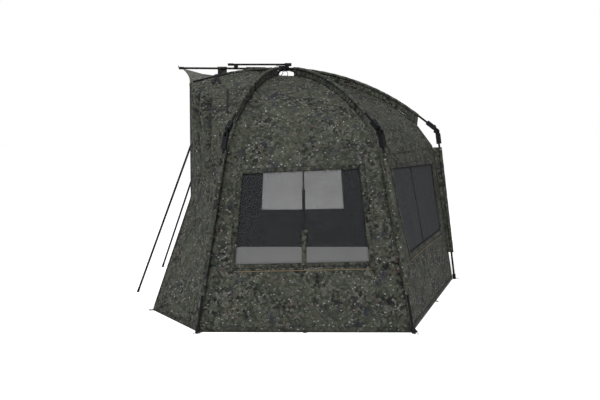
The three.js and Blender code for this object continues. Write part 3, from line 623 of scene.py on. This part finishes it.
def cloth_fold(arm, keep=0.6):
    return (arm.tangent, HUB + arm.out * 0.3, keep)


# ---- cloth surfaces ----

CLOTH_THICKNESS = 0.0016
INSIDE = np.array([0.0, HUB[1] * 0.5, 0.55])


def ripple(points, scale, amount, seed):
    """Smooth noise over points, which is the same on every run."""
    flat = points.reshape(-1, 3)
    out = np.array([noise.noise(Vector(p * scale) + Vector((seed, seed * 1.7, 0))) for p in flat])
    return out.reshape(points.shape[:-1]) * amount


def outward(surface, u, v, step):
    """A surface's normals, by differences, pointing away from the inside."""
    du = surface(np.clip(u + step, 0, 1), v) - surface(np.clip(u - step, 0, 1), v)
    dv = surface(u, np.clip(v + step, 0, 2)) - surface(u, np.clip(v - step, 0, 2))
    n = units(np.cross(du, dv))
    return n * np.sign(((surface(u, v) - INSIDE) * n).sum(-1, keepdims=True))


class Gore:
    """The sheet between two seams.

    u runs from seam a to seam b, and v from the crown (0) over the eave (1) to the hem (2).
    """

    def __init__(self, a, b, seed, roof_sag=0.018, wall_sag=0.012, folds=None):
        self.a, self.b, self.seed = a, b, seed
        self.roof_sag, self.wall_sag, self.folds = roof_sag, wall_sag, folds

    def seam(self, line, v):
        roof = along(line.roof, np.clip(v, 0, 1))
        wall = along(line.wall, np.clip(v - 1, 0, 1))
        return np.where((v < 1)[..., None], roof, wall)

    def flat(self, u, v):
        """The taut surface, its eave rounded between the poles."""
        spread = 0.11 * 4 * u * (1 - u)
        total = 0
        for k, weight in ((-2, 0.1), (-1, 0.22), (0, 0.36), (1, 0.22), (2, 0.1)):
            moved = np.clip(v + k * spread * 0.5 * eave_window(v), 0, 2)
            shifted = np.where((v < 0.02) | (v > 1.98), v, moved)
            p = self.seam(self.a, shifted) * (1 - u)[..., None] + self.seam(self.b, shifted) * u[..., None]
            total = total + p * weight
        return total

    def at(self, u, v):
        u = np.asarray(u, float)
        v = np.asarray(v, float)
        base = self.flat(u, v)
        n = outward(self.flat, u, v, 0.004)
        across = 4 * u * (1 - u)
        roof = self.roof_sag * np.sin(math.pi * np.clip(v, 0, 1))
        wall = self.wall_sag * np.sin(math.pi * np.clip(v - 1, 0, 1))
        depth = -across * np.where(v < 1, roof, wall)
        edge = np.clip(across * 2.5, 0, 1) * np.clip((2 - v) * 8, 0, 1) * np.clip(v * 8, 0, 1)
        depth = depth + ripple(base, 3.2, 0.006, self.seed) * edge
        depth = depth + ripple(base * [1, 1, 0.35], 11.0, 0.0026, self.seed + 3) * edge
        if self.folds is not None:
            depth = depth + self.folds(u, v) * edge
        return base + n * depth[..., None]

    def normal(self, u, v):
        return outward(self.at, np.asarray(u, float), np.asarray(v, float), 0.003)

    def share_down(self, u, height):
        """v of a height on the wall at u."""
        top = float(self.flat(np.array(u), np.array(1.0))[2])
        return 1 + np.clip(1 - height / top, 0, 1)


def eave_window(v):
    return np.clip(1 - np.abs(v - 1) / 0.6, 0, 1)


ROOF_ROWS = 34


def cloth_grid(gore, window):
    """u and v of the grid's nodes, and which quads the window takes.

    window is four (u, height) corners, clockwise from the top left.
    """
    if window is None:
        u = np.linspace(0, 1, 89)
        v = np.r_[np.linspace(0, 1, ROOF_ROWS), np.linspace(1, 2, 44)[1:]]
        grid_u, grid_v = np.meshgrid(u, v)
        return grid_u, grid_v, np.zeros((len(v) - 1, len(u) - 1), bool)
    tl, tr, br, bl = [(u, gore.share_down(u, h)) for u, h in window]
    zones_v = (7, 24, 11)
    zones_u = (8, 20, 20, 8)
    rows = [("top", t) for t in np.linspace(0, 1, ROOF_ROWS)]
    for kind, count in zip(("above", "window", "below"), zones_v):
        rows += [(kind, t) for t in np.linspace(0, 1, count + 1)[1:]]
    out_u, out_v = [], []
    for kind, t in rows:
        blend = t if kind == "window" else (1.0 if kind == "below" else 0.0)
        left = tl[0] + (bl[0] - tl[0]) * blend
        right = tr[0] + (br[0] - tr[0]) * blend
        u = np.r_[
            np.linspace(0, left, zones_u[0] + 1),
            np.linspace(left, 0.5, zones_u[1] + 1)[1:],
            np.linspace(0.5, right, zones_u[2] + 1)[1:],
            np.linspace(right, 1, zones_u[3] + 1)[1:],
        ]
        top = np.interp(u, [tl[0], tr[0]], [tl[1], tr[1]])
        low = np.interp(u, [bl[0], br[0]], [bl[1], br[1]])
        if kind == "top":
            v = np.full_like(u, t)
        elif kind == "above":
            v = 1 + (top - 1) * t
        elif kind == "window":
            v = top + (low - top) * t
        else:
            v = low + (2 - low) * t
        out_u.append(u)
        out_v.append(v)
    hole = np.zeros((len(rows) - 1, sum(zones_u)), bool)
    for r, (kind, _) in enumerate(rows[1:]):
        hole[r, zones_u[0] : sum(zones_u[:3])] = kind == "window"
    return np.array(out_u), np.array(out_v), hole


def metric_uv(points):
    """UVs in metres along a grid, so a pattern keeps its size."""
    across = np.linalg.norm(np.diff(points, axis=1), axis=2)
    down = np.linalg.norm(np.diff(points, axis=0), axis=2)
    x = np.concatenate([np.zeros((points.shape[0], 1)), np.cumsum(across, 1)], 1)
    x -= x[:, [x.shape[1] // 2]]
    y = np.concatenate([np.zeros((1, points.shape[1])), np.cumsum(down, 0)], 0)
    return np.stack([x, -y], 2)


def build_gore(gore, window, names, riders, replaced, shift):
    """Two half sheets that meet at mid-panel. riders has the body and the fold of each."""
    grid_u, grid_v, hole = cloth_grid(gore, window)
    points = gore.at(grid_u, grid_v)
    uv = metric_uv(points)
    # the wing's fold-valley depth rides along as a third uv column, for the painted shade in its folds
    if gore.folds is wing_folds:
        valley = np.clip(-wing_folds(grid_u, grid_v) / FOLD_DEPTH, 0, 1)
        uv = np.concatenate([uv, valley[..., None]], 2)
    middle_column = int(np.abs(grid_u[0] - 0.5).argmin())
    for k, (name, rider) in enumerate(zip(names, riders)):
        part = slice(0, middle_column + 1) if k == 0 else slice(middle_column, None)
        quads = slice(0, middle_column) if k == 0 else slice(middle_column, None)
        built = shell(points[:, part], uv[:, part], ~hole[:, quads], CLOTH_THICKNESS, INSIDE)
        add_part(name, built, *CLOTH, *rider, replaced, shift)
    return points, uv, hole, middle_column


def build_net(points, uv, hole, middle_column, net, names, riders, replaced):
    rows = np.where(hole.any(1))[0]
    columns = np.where(hole.any(0))[0]
    r0, r1 = rows[0], rows[-1] + 2
    c0, c1 = columns[0], columns[-1] + 2
    normals = grid_normals(points)
    sign = np.sign(((points - INSIDE) * normals).sum())
    back = points - normals * sign * 0.003
    for k, (name, rider) in enumerate(zip(names, riders)):
        part = slice(c0, middle_column + 1) if k == 0 else slice(middle_column, c1)
        block = back[r0:r1, part]
        keep = np.ones((block.shape[0] - 1, block.shape[1] - 1), bool)
        built = shell(block, uv[r0:r1, part], keep, 0.0008, INSIDE)
        add_part(name, built, net, "window_mesh", *rider, replaced)


def surface_band(gore, us, vs, width, thickness, lift=0.0008):
    us, vs = np.asarray(us, float), np.asarray(vs, float)
    facing = gore.normal(us, vs)
    return ribbon(gore.at(us, vs) + facing * lift, facing, width, thickness)


def line(a, b, count=24):
    return np.linspace(a, b, count)


def split_bands(gore, corners_u, corners_v, width, thickness):
    """The same band as two pieces, one on each side of mid-panel."""
    u = line(*corners_u, 50)
    v = line(*corners_v, 50)
    at_middle = np.interp(0.5, u, v)
    first = u <= 0.5
    halves = (
        (np.r_[u[first], 0.5], np.r_[v[first], at_middle]),
        (np.r_[0.5, u[~first]], np.r_[at_middle, v[~first]]),
    )
    return [surface_band(gore, half_u, half_v, width, thickness) for half_u, half_v in halves]


BORDER_WIDTH = 0.030
HEM_WIDTH = 0.024
TAB_DROP = 0.042
STITCH_DROP = 0.036
TAPE_LAP = 0.003  # how far the tape covers the edge of the net


def trim_gore(gore, window, label, riders):
    """Hem tape, window borders with tabs, and the stitch line under the window."""
    parts = [[], []]
    threads = [[], []]
    for k, half in enumerate(split_bands(gore, (0.003, 0.997), (1.986, 1.986), HEM_WIDTH, 0.0016)):
        parts[k].append(half)
    if window is not None:
        wide = np.linalg.norm(gore.at(np.array(1.0), np.array(1.5)) - gore.at(np.array(0.0), np.array(1.5)))
        aside = (BORDER_WIDTH / 2 - TAPE_LAP) / wide
        rise = BORDER_WIDTH * 0.4 - TAPE_LAP
        tl, tr, br, bl = [
            (u + su * aside, gore.share_down(u, h + sh * rise))
            for (u, h), (su, sh) in zip(window, ((-1, 1), (1, 1), (1, -1), (-1, -1)))
        ]
        for top, low, k in ((tl, bl, 0), (tr, br, 1)):
            drop = gore.share_down(low[0], max(window[3 if k == 0 else 2][1] - TAB_DROP, 0.05))
            parts[k].append(surface_band(gore, line(top[0], low[0]), line(top[1], drop), BORDER_WIDTH, 0.0014))
        for a, b in ((tl, tr), (bl, br)):
            for k, half in enumerate(split_bands(gore, *zip(a, b), BORDER_WIDTH * 0.8, 0.0012)):
                parts[k].append(half)
        low_left = gore.share_down(bl[0], window[3][1] - STITCH_DROP)
        low_right = gore.share_down(br[0], window[2][1] - STITCH_DROP)
        for k, half in enumerate(split_bands(gore, (bl[0], br[0]), (low_left, low_right), 0.004, 0.0014)):
            threads[k].append(half)
    for k, side in enumerate(("first", "second")):
        add_part(f"tape_{label}_{side}", merge(*parts[k]), *TAPE, *riders[k])
        if threads[k]:
            add_part(f"stitch_{label}_{side}", merge(*threads[k]), THREAD, "camo_fabric", *riders[k])


# ---- the main panels ----

SIDE_WINDOW = [(0.115, 0.797), (0.863, 0.822), (0.844, 0.346), (0.138, 0.333)]
REAR_SEAM_HEIGHT = 0.895
REAR_WINDOW = [(0.155, 0.815), (0.925, 0.797), (0.880, 0.358), (0.206, 0.345)]
SIDE_SEAM_TOP = 0.82  # heights on the middle of a panel
WINDOW_STRAP = (0.50, 0.33)
REAR_NET_SEAM = (0.815, 0.35)
NO_SHIFT, REAR_SHIFT, WING_SHIFT = (0.0, 0.0, 0.0), (0.0, 2.3, 0.7), (5.1, 0.0, 0.2)  # of the print
VENT_U = (0.55, 0.35, 0.225)  # the vent's zip, from its top to its foot
VENT_V = (0.738, 0.825, 0.900)
# the storm pole's strap on the wing: where it hangs from, and its two ends
STRAP_TOP = (0.985, 0.722)
STRAP_ENDS = ((0.83, 0.812), (0.78, 0.745))
FOLD_DEPTH = 0.032
WING_VALLEYS = (  # v down the wing and the valley's u there; the second is the one nearer the leg
    ((0.96, 1.10, 1.17, 1.29, 1.48), (0.82, 0.77, 0.74, 0.68, 0.60)),
    ((0.88, 0.96, 1.08, 1.22, 1.48), (0.66, 0.59, 0.45, 0.41, 0.34)),
)
VALLEY_WIDTH = 0.048


def wing_folds(u, v):
    """Curtain folds that hang from the front rib and fade out above the ground."""
    total = 0
    for k, (down, across) in enumerate(WING_VALLEYS):
        high = np.clip((v - down[0]) * 12, 0, 1) * np.clip((1.48 - v) * 3.5, 0, 1)
        away = (u - np.interp(v, down, across)) / VALLEY_WIDTH
        valley = -FOLD_DEPTH * np.exp(-(away**2)) * (1.0, 0.85)[k]
        ridges = 0.35 * FOLD_DEPTH * (np.exp(-((away - 2.2) ** 2)) + np.exp(-((away + 2.2) ** 2)))
        total = total + high * (valley + ridges)
    return total


def wall_creases(u, v):
    """Faint pulls from the lower corners of a pegged wall."""
    low = np.clip((v - 1.5) * 3, 0, 1)
    return low * 0.005 * np.sin((u * 9 - v * 7)) * np.exp(-(((u - 0.25) / 0.3) ** 2))


def windowed_panel(gore, window, net, label, halves, side, shift):
    """A panel with a net window. Returns the riders of its two halves."""
    riders = [("rib_" + arm.name, cloth_fold(arm)) for arm in (gore.a, gore.b)]
    cloths = [f"{label}_cloth_{half}_{side}" for half in halves]
    nets = [f"{label}_net_{half}_{side}" for half in halves]
    sheet = build_gore(gore, window, cloths, riders, (f"{label}_panel_{side}",), np.array(shift))
    build_net(*sheet, net, nets, riders, (f"{label}_window_mesh_{side}",))
    trim_gore(gore, window, f"{label}_{side}", riders)
    return riders


wings = {}
for side in SIDES:
    front, rear, centre = ARMS["front_" + side], ARMS["rear_" + side], ARMS["rear_centre"]
    edge = EDGES[side]
    gore = side_gore = Gore(front, rear, 1.0, 0.016, 0.010, wall_creases)
    halves = ("front", "rear")
    riders = side_riders = windowed_panel(gore, SIDE_WINDOW, SIDE_NET, "side", halves, side, NO_SHIFT)

    strap_top, strap_low = (gore.share_down(0.5, height) for height in WINDOW_STRAP)
    strap = surface_band(gore, line(0.5, 0.5), line(strap_top, strap_low), 0.026, 0.004, 0.002)
    knot = gore.at(np.array(0.5), strap_top) + gore.normal(np.array(0.5), strap_top) * 0.008
    along_wall = unit(rear.foot - front.foot)
    bar_line = np.linspace(knot - along_wall * 0.019, knot + along_wall * 0.019, 9)
    bar = pipe(bar_line, 0.009 + 0.002 * np.sin(np.arange(9.0) * 2.1))
    add_part(f"window_strap_side_{side}", merge(strap, bar), *CLOTH, *riders[0])
    seam_top = gore.share_down(0.5, SIDE_SEAM_TOP)
    seam_net = surface_band(gore, line(0.5, 0.5), line(seam_top, strap_top), 0.006, 0.0012, -0.002)
    add_part(f"window_seam_side_{side}", seam_net, WEBBING, "window_mesh", *riders[0])

    gore = Gore(rear, centre, 7.0, 0.020, 0.010, wall_creases)
    halves = ("outer", "inner")
    riders = windowed_panel(gore, REAR_WINDOW, REAR_NET, "rear", halves, side, REAR_SHIFT)
    level = gore.share_down(0.5, REAR_SEAM_HEIGHT)
    for k, half in enumerate(split_bands(gore, (0.01, 0.99), (level, level), 0.010, 0.0010)):
        add_part(f"rear_seam_{halves[k]}_{side}", half, *TAPE, *riders[k])
    top, low = (gore.share_down(0.5, height) for height in REAR_NET_SEAM)
    seam_net = surface_band(gore, line(0.5, 0.5), line(top, low), 0.008, 0.0012, -0.002)
    add_part(f"window_seam_rear_{side}", seam_net, WEBBING, "window_mesh", *riders[0])

    for label, panel_gore, rider in (("side", side_gore, side_riders[0]), ("rear", gore, riders[0])):
        hem = panel_gore.at(np.array(0.5), np.array(2.0))
        out = unit(panel_gore.normal(np.array(0.5), np.array(1.97)) * [1, 1, 0])
        built = loop(hem + out * 0.010 + UP * 0.004, UP, 0.009, 0.0017)
        add_part(f"hem_ring_{label}_{side}", built, ELASTIC, "black_moulding", *rider)

    riders = [("rib_front_" + side, cloth_fold(front)), ("front_rib_" + side, cloth_fold(edge))]
    gore = wings[side] = Gore(front, edge, 13.0, 0.012, 0.004, wing_folds)
    names = [f"wing_cloth_back_{side}", f"wing_cloth_front_{side}"]
    build_gore(gore, None, names, riders, ("front_wing_" + side,), np.array(WING_SHIFT))
    trim_gore(gore, None, "wing_" + side, riders)
    slit_u = np.interp(line(0, 1), (0, 0.5, 1), VENT_U)
    slit_v = np.interp(line(0, 1), (0, 0.5, 1), VENT_V)
    slit = surface_band(gore, slit_u, slit_v, 0.012, 0.003, 0.001)
    add_part(f"vent_zip_{side}", slit, WEBBING, "camo_fabric", *riders[0])
    top_u, top_v = STRAP_TOP
    tails = [surface_band(gore, line(top_u, u), line(top_v, v), 0.015, 0.003, 0.004) for u, v in STRAP_ENDS]
    buckle = along(edge.rib, np.linspace(0.70, 0.765, 9)) + [edge.sign * 0.004, 0, 0]
    tails.append(pipe(buckle, 0.0105 + 0.002 * np.cos(np.linspace(-1.5, 1.5, 9))))
    add_part("storm_strap_" + side, merge(*tails), WEBBING, "black_moulding", "front_rib_" + side)
    free = surface_band(gore, np.full(50, 0.985), line(1.0, 1.98, 50), 0.016, 0.0016)
    add_part(f"wing_edge_tape_{side}", free, *TAPE, *riders[1])


# ---- sleeves and webs between poles and skin ----

SLEEVE_RADIUS = 0.0098
LEG_SLEEVE_RADIUS = 0.0125
LEG_SLEEVE_OUT = 0.003  # the leg sleeve hangs a little outside its pole
WEB_THICKNESS = 0.0018
WEB_START = 0.10  # share along the rib where the sleeve starts, clear of the hub
WEB_STOP = 0.885  # and where it stops, short of the knuckle
WEB_STOP_SKIN = 0.93  # the same end on the skin's seam, which is cut on the slant


def web_sheet(outer, inner, across, thickness):
    """A closed strip between two lines."""
    rows = np.linspace(0, 1, 6)
    points = np.array([outer * (1 - t) + inner * t for t in rows])
    half = np.asarray(across) * thickness / 2
    s = lengths(outer)
    depth = np.linalg.norm(outer - inner, axis=1)
    rails, uvs = [], []
    for t, layer in zip(rows, points):
        rails.append(layer + half)
        uvs.append(np.stack([s, depth * t], 1))
    for t, layer in zip(rows[::-1], points[::-1]):
        rails.append(layer - half)
        uvs.append(np.stack([s, depth * t + 0.3], 1))
    return loft(rails, uvs)


for name, arm in ARMS.items():
    share = np.linspace(WEB_START, WEB_STOP, 60)
    pole = along(arm.rib, share)
    skin = np.array([arm.roof[np.argmin(np.linalg.norm(arm.roof - p, axis=1))] for p in pole])
    skin = resample(smooth_path(np.vstack([skin[:-3:6], along(arm.roof, np.array([WEB_STOP_SKIN]))]), 60), 60)
    sleeve = pipe(pole, SLEEVE_RADIUS + 0.0006 * np.sin(share * 90))
    web = web_sheet(pole + unit(skin[30] - pole[30]) * 0.006, skin, arm.tangent, WEB_THICKNESS)
    add_part("roof_sleeve_" + name, merge(sleeve, web), *CLOTH, "rib_" + name)

    height = np.linspace(LEG_WEB_TOP, LEG_WEB_BOTTOM, 50)
    share = 1 - height / arm.leg[0][2]
    pole = along(arm.leg, share)
    skin = np.stack([np.interp(height, arm.wall[::-1, 2], arm.wall[::-1, k]) for k in range(3)], 1)
    sleeve = pipe(pole + arm.out * LEG_SLEEVE_OUT, LEG_SLEEVE_RADIUS + 0.0006 * np.sin(share * 70))
    across = unit(np.cross(arm.leg[1] - arm.leg[0], arm.out))
    web = web_sheet(pole - arm.out * 0.006, skin, across, WEB_THICKNESS)
    add_part("leg_sleeve_" + name, merge(sleeve, web), *CLOTH, "rib_" + name)


# ---- the peaked canopy ----

RIDGE = [  # share along the peak's pole, and how far the cloth hangs under it
    (0.00, 0.048), (0.16, 0.030), (0.36, 0.034), (0.56, 0.050),
    (0.68, 0.050), (0.80, 0.040), (0.92, 0.018), (1.0, 0.006),
]
TIP_LOW, TIP_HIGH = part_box("peak_tip")
TIP_SETBACK = 0.012  # of the canopy's point behind the end of its pole
TIP = np.array([0.0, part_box("peak_pole")[0].y + TIP_SETBACK, (TIP_LOW.z + TIP_HIGH.z) / 2])


def pole_at(share):
    y = HUB[1] + (TIP[1] - HUB[1]) * share
    pole_z = HUB[2] + (TIP[2] - HUB[2]) * share
    return np.stack([np.zeros_like(share), y, pole_z], -1)


def ridge_at(share):
    return pole_at(share) - UP * np.interp(share, [r[0] for r in RIDGE], [r[1] for r in RIDGE])[:, None]


TIP_SCOOP = 0.014  # how far the canopy's front edge curves in
peak_fold = ((1, 0, 0), (0, 0, HUB[2]), 0.6)
for side, edge in EDGES.items():
    s = np.linspace(0.0, 1.0, 60)
    ridge = ridge_at(s)
    rib = along(edge.roof, s) + UP * 0.002
    u = np.linspace(0, 1, 29)
    grid = ridge[:, None] * (1 - u)[None, :, None] + rib[:, None] * u[None, :, None]
    belly = 4 * u * (1 - u)
    grid[..., 2] -= belly[None] * 0.014 * np.sin(math.pi * s)[:, None]
    pull = np.clip((s - 0.72) / 0.28, 0, 1) ** 2
    forward = unit(TIP - HUB)
    grid -= (belly[None] * TIP_SCOOP * pull[:, None])[..., None] * forward
    grid[..., 2] += ripple(grid, 9.0, 0.003, 21.0) * belly[None]
    uv = metric_uv(grid) + [7.7, 0.0]
    half = len(u) // 2
    keep = np.ones((len(s) - 1, half), bool)
    below = np.array([0, HUB[1] - 0.3, 0.6])
    add_part(
        "canopy_ridge_" + side, shell(grid[:, : half + 1], uv[:, : half + 1], keep, CLOTH_THICKNESS, below),
        *CANOPY, "peak_pole", peak_fold, ("peak_canopy",),
    )
    add_part(
        "canopy_edge_" + side, shell(grid[:, half:], uv[:, half:], keep, CLOTH_THICKNESS, below),
        *CANOPY, "front_rib_" + side, cloth_fold(edge), ("peak_canopy",),
    )
    share = np.linspace(0.10, 0.72, 50)
    pole = along(edge.rib, share)
    add_part(
        "front_sleeve_" + side, pipe(pole, 0.0092 + 0.0005 * np.sin(share * 80)),
        *TAPE, "front_rib_" + side,
    )

for label, a, b in (("hub", 0.18, 0.37), ("tab", 0.56, 0.65)):
    share = np.linspace(a, b, 20)
    pole = pole_at(share)
    web = web_sheet(pole - UP * 0.004, ridge_at(share), np.array([1.0, 0, 0]), WEB_THICKNESS)
    sleeve = pipe(pole, 0.0098)
    add_part("peak_web_" + label, merge(sleeve, web), *TAPE, "peak_pole")


# ---- front panel and door ----

DOOR_HALF = 0.33
DOOR_FOOT = 0.04
DOOR_SPRING = 1.02
DOOR_CROWN = 1.24
PANEL_TOP = 1.400  # at the middle, under the canopy
PANEL_EDGE = [  # height, and how far round the wing from its leg the panel's edge is sewn
    (1.345, 0.93), (1.32, 0.86), (1.25, 0.80), (1.18, 0.80), (0.98, 0.81), (0.80, 0.82),
    (0.64, 0.84), (0.50, 0.87), (0.32, 0.91), (0.15, 0.95), (0.003, 0.975),
]
PANEL_INSET = 0.004


def sewn_point(wing, height, u):
    """The wing's point at a height, u of the way from its leg to its free edge."""
    v = np.linspace(0.75, 2, 500)
    line_down = wing.at(np.full(len(v), u), v)
    return line_down[np.abs(line_down[:, 2] - height).argmin()] - [PANEL_INSET, 0, 0]


edge_line = np.array([sewn_point(wings["right"], h, u) for h, u in PANEL_EDGE])
edge_line[-1, 2] = PANEL_EDGE[-1][0]
edge_line = smooth_path(edge_line, 100)
u = np.linspace(-1, 1, 121)
grid = np.empty((len(edge_line), len(u), 3))
for k, point in enumerate(edge_line):
    grid[k, :, 0] = point[0] * u
    grid[k, :, 1] = point[1] + 0.012 * (1 - u**2)
    crown_share = np.clip((point[2] - 1.0) / (edge_line[0, 2] - 1.0), 0, 1)
    grid[k, :, 2] = point[2] + (PANEL_TOP - edge_line[0, 2]) * (1 - np.abs(u) ** 1.5) * crown_share
grid[..., 1] += ripple(grid, 4.0, 0.006, 31.0)
centre_x = (grid[:-1, :-1, 0] + grid[1:, 1:, 0]) / 2
centre_z = (grid[:-1, :-1, 2] + grid[1:, 1:, 2]) / 2
arch = DOOR_SPRING + (DOOR_CROWN - DOOR_SPRING) * np.sqrt(np.clip(1 - (centre_x / DOOR_HALF) ** 2, 0, 1))
in_door = (np.abs(centre_x) < DOOR_HALF) & (centre_z > DOOR_FOOT) & (centre_z < arch)
uv = metric_uv(grid) + [9.4, 0.3]
inside_front = np.array([0.0, HUB[1], 0.6])
mid = len(u) // 2
for side, sign in SIDES.items():
    part = slice(mid, None) if sign > 0 else slice(0, mid + 1)
    quads = slice(mid, None) if sign > 0 else slice(0, mid)
    edge = EDGES[side]
    fold = cloth_fold(edge, 0.55)
    for label, mask in (("front", ~in_door), ("door", in_door)):
        built = shell(grid[:, part], uv[:, part], mask[:, quads], CLOTH_THICKNESS, inside_front)
        add_part(f"{label}_cloth_{side}", built, *CLOTH, "front_rib_" + side, fold, (label + "_panel",))
    turn = np.linspace(0, math.pi / 2, 24)
    zip_x = np.r_[np.full(30, DOOR_HALF), DOOR_HALF * np.cos(turn)[1:]] * sign
    arch_z = DOOR_SPRING + (DOOR_CROWN - DOOR_SPRING) * np.sin(turn)[1:]
    zip_z = np.r_[np.linspace(DOOR_FOOT, DOOR_SPRING, 30), arch_z]
    flat = grid.reshape(-1, 3)
    nearest = [np.argmin((flat[:, 0] - x) ** 2 + (flat[:, 2] - z) ** 2) for x, z in zip(zip_x, zip_z)]
    zip_y = flat[nearest, 1]
    track = np.stack([zip_x, zip_y - 0.001, zip_z], 1)
    facing = np.tile([0.0, -1.0, 0.0], (len(track), 1))
    tape = ribbon(track, facing, 0.024, 0.002)
    add_part("door_zip_" + side, tape, WEBBING, "camo_fabric", "front_rib_" + side, fold)


# ---- small parts: crown patch, cords, rings, straps ----

PATCH_RINGS = (0.004, 0.012, 0.020, 0.028)
turn = np.append(np.linspace(0, 2 * math.pi, 32, endpoint=False), 0)
level = np.full(len(turn), HUB[2] - CROWN_DROP + 0.001)
patch = np.array(
    [np.stack([HUB[0] + r * np.cos(turn), HUB[1] + r * np.sin(turn), level], 1) for r in PATCH_RINGS]
)
built = shell(patch, patch[..., :2], np.ones((3, 32), bool), 0.002, np.array([0, HUB[1], 0.0]))
add_part("crown_patch", built, *TAPE, "hub")


def cord(start, end, bow, count=16):
    t = np.linspace(0, 1, count)[:, None]
    path = start * (1 - t) + end * t
    return path + np.asarray(bow) * np.sin(math.pi * t)


cords = [
    pipe(cord(HUB + [x, y, -0.012], HUB + [x * 2.4, y * 2.0, -CROWN_DROP + 0.002], [0.0, 0.008, 0]), 0.0016, 8)
    for x, y in ((0.006, 0.012), (-0.006, 0.012), (0.006, -0.010), (-0.006, -0.010))
]
add_part("crown_cords", merge(*cords), ELASTIC, "black_moulding", "hub")


RING_RADIUS = 0.013
RING_ROOM = 0.02  # how far a ring's centre may lie outside the CAD's box
for name, arm in ARMS.items():
    centre_point = arm.foot + arm.out * (RING_RADIUS + 0.006) + UP * 0.003
    lowest = [cad_bounds[0][0] - RING_ROOM, cad_bounds[0][1] - RING_ROOM, 0.003]
    highest = [cad_bounds[1][0] + RING_ROOM, cad_bounds[1][1] + RING_ROOM, 1]
    ring = loop(np.clip(centre_point, lowest, highest), UP, RING_RADIUS, 0.0018)
    add_part("peg_ring_" + name, ring, FINISH["zinc_steel"], "zinc_steel", "rib_" + name)
    strap_in = arm.foot - arm.out * STANDOFF_GROUND + UP * 0.016
    strap_out = arm.foot + arm.out * 0.010 + UP * 0.005
    strap_line = np.linspace(strap_in, strap_out, 8) + arm.tangent * 0.013
    strap = ribbon(strap_line, np.tile(UP, (8, 1)), 0.016, 0.0016)
    add_part("peg_strap_" + name, strap, WEBBING, "black_moulding", "rib_" + name)

for side, edge in EDGES.items():
    corner = edge.ground + UP * 0.004
    way = unit((corner - HUB) * [1, 1, 0])
    ring = loop(corner + way * 0.012, UP, 0.011, 0.002)
    add_part("corner_loop_" + side, ring, ELASTIC, "black_moulding", "front_rib_" + side)


# ---- floor, light, camera ----

FLOOR_GLOW = 0.30  # makes up for the weaker sky, so that the floor meets the backdrop unseen
FLOOR_HALF = 30
floor_mesh = bpy.data.meshes.new("floor")
corners = [(x * FLOOR_HALF, y * FLOOR_HALF, -0.001) for x, y in ((-1, -1), (1, -1), (1, 1), (-1, 1))]
floor_mesh.from_pydata(corners, [], [(0, 1, 2, 3)])
floor = bpy.data.objects.new("floor", floor_mesh)
bpy.context.scene.collection.objects.link(floor)
floor_material, tree = node_material("pale_floor")
pale = add(tree, "ShaderNodeBsdfPrincipled", in_Roughness=0.9)
place = add(tree, "ShaderNodeTexCoord").outputs["Object"]
patchy = ramp(tree, fine_noise(tree, place, 3.0), [(0.3, 0.955), (0.7, 0.975)])
link(tree, patchy, pale.inputs["Base Color"])
glow = add(tree, "ShaderNodeEmission", in_Strength=FLOOR_GLOW)
both = add(tree, "ShaderNodeAddShader")
link(tree, pale.outputs[0], both.inputs[0])
link(tree, glow.outputs[0], both.inputs[1])
show(tree, both.outputs[0])
floor.data.materials.append(floor_material)

SKY_LIGHT = 0.72
world = bpy.data.worlds.new("studio")
bpy.context.scene.world = world
world.use_nodes = True
tree = world.node_tree
sky = tree.nodes["Background"]
sky.inputs["Color"].default_value = (1, 1, 1, 1)
rays = add(tree, "ShaderNodeLightPath").outputs
seen = maths(tree, "MAXIMUM", rays["Is Camera Ray"], rays["Is Transmission Ray"])
strength = add(tree, "ShaderNodeMapRange", in_To_Min=SKY_LIGHT, in_To_Max=1.0)
link(tree, seen, strength.inputs["Value"])
link(tree, strength.outputs["Result"], sky.inputs["Strength"])


def area_light(name, place, target, size, energy):
    light = bpy.data.lights.new(name, "AREA")
    light.shape = "DISK"
    light.size = size
    light.energy = energy
    obj = bpy.data.objects.new(name, light)
    obj.location = place
    obj.rotation_euler = (Vector(target) - Vector(place)).to_track_quat("-Z", "Y").to_euler()
    bpy.context.scene.collection.objects.link(obj)


area_light("key", (4.2, -1.2, 6.0), (0, 0, 0.7), 3.0, 420)
area_light("fill", (3.5, 4.5, 3.5), (0, 0, 0.7), 4.0, 20)

CAMERA_PLACE = (4.498, HUB[1] + 0.129, 1.075)
CAMERA_PITCH = 0.115
CAMERA_YAW = 0.0043
CAMERA_LENS = 39.2
camera_data = bpy.data.cameras.new("camera")
camera_data.sensor_width = 36
camera_data.lens = CAMERA_LENS
camera = bpy.data.objects.new("camera", camera_data)
camera.location = CAMERA_PLACE
level_share = math.cos(CAMERA_PITCH)
across = -math.sin(CAMERA_YAW) * level_share
aim = Vector((-math.cos(CAMERA_YAW) * level_share, across, -math.sin(CAMERA_PITCH)))
camera.rotation_euler = aim.to_track_quat("-Z", "Y").to_euler()
bpy.context.scene.collection.objects.link(camera)
bpy.context.scene.camera = camera
bpy.context.scene.view_settings.view_transform = "Standard"
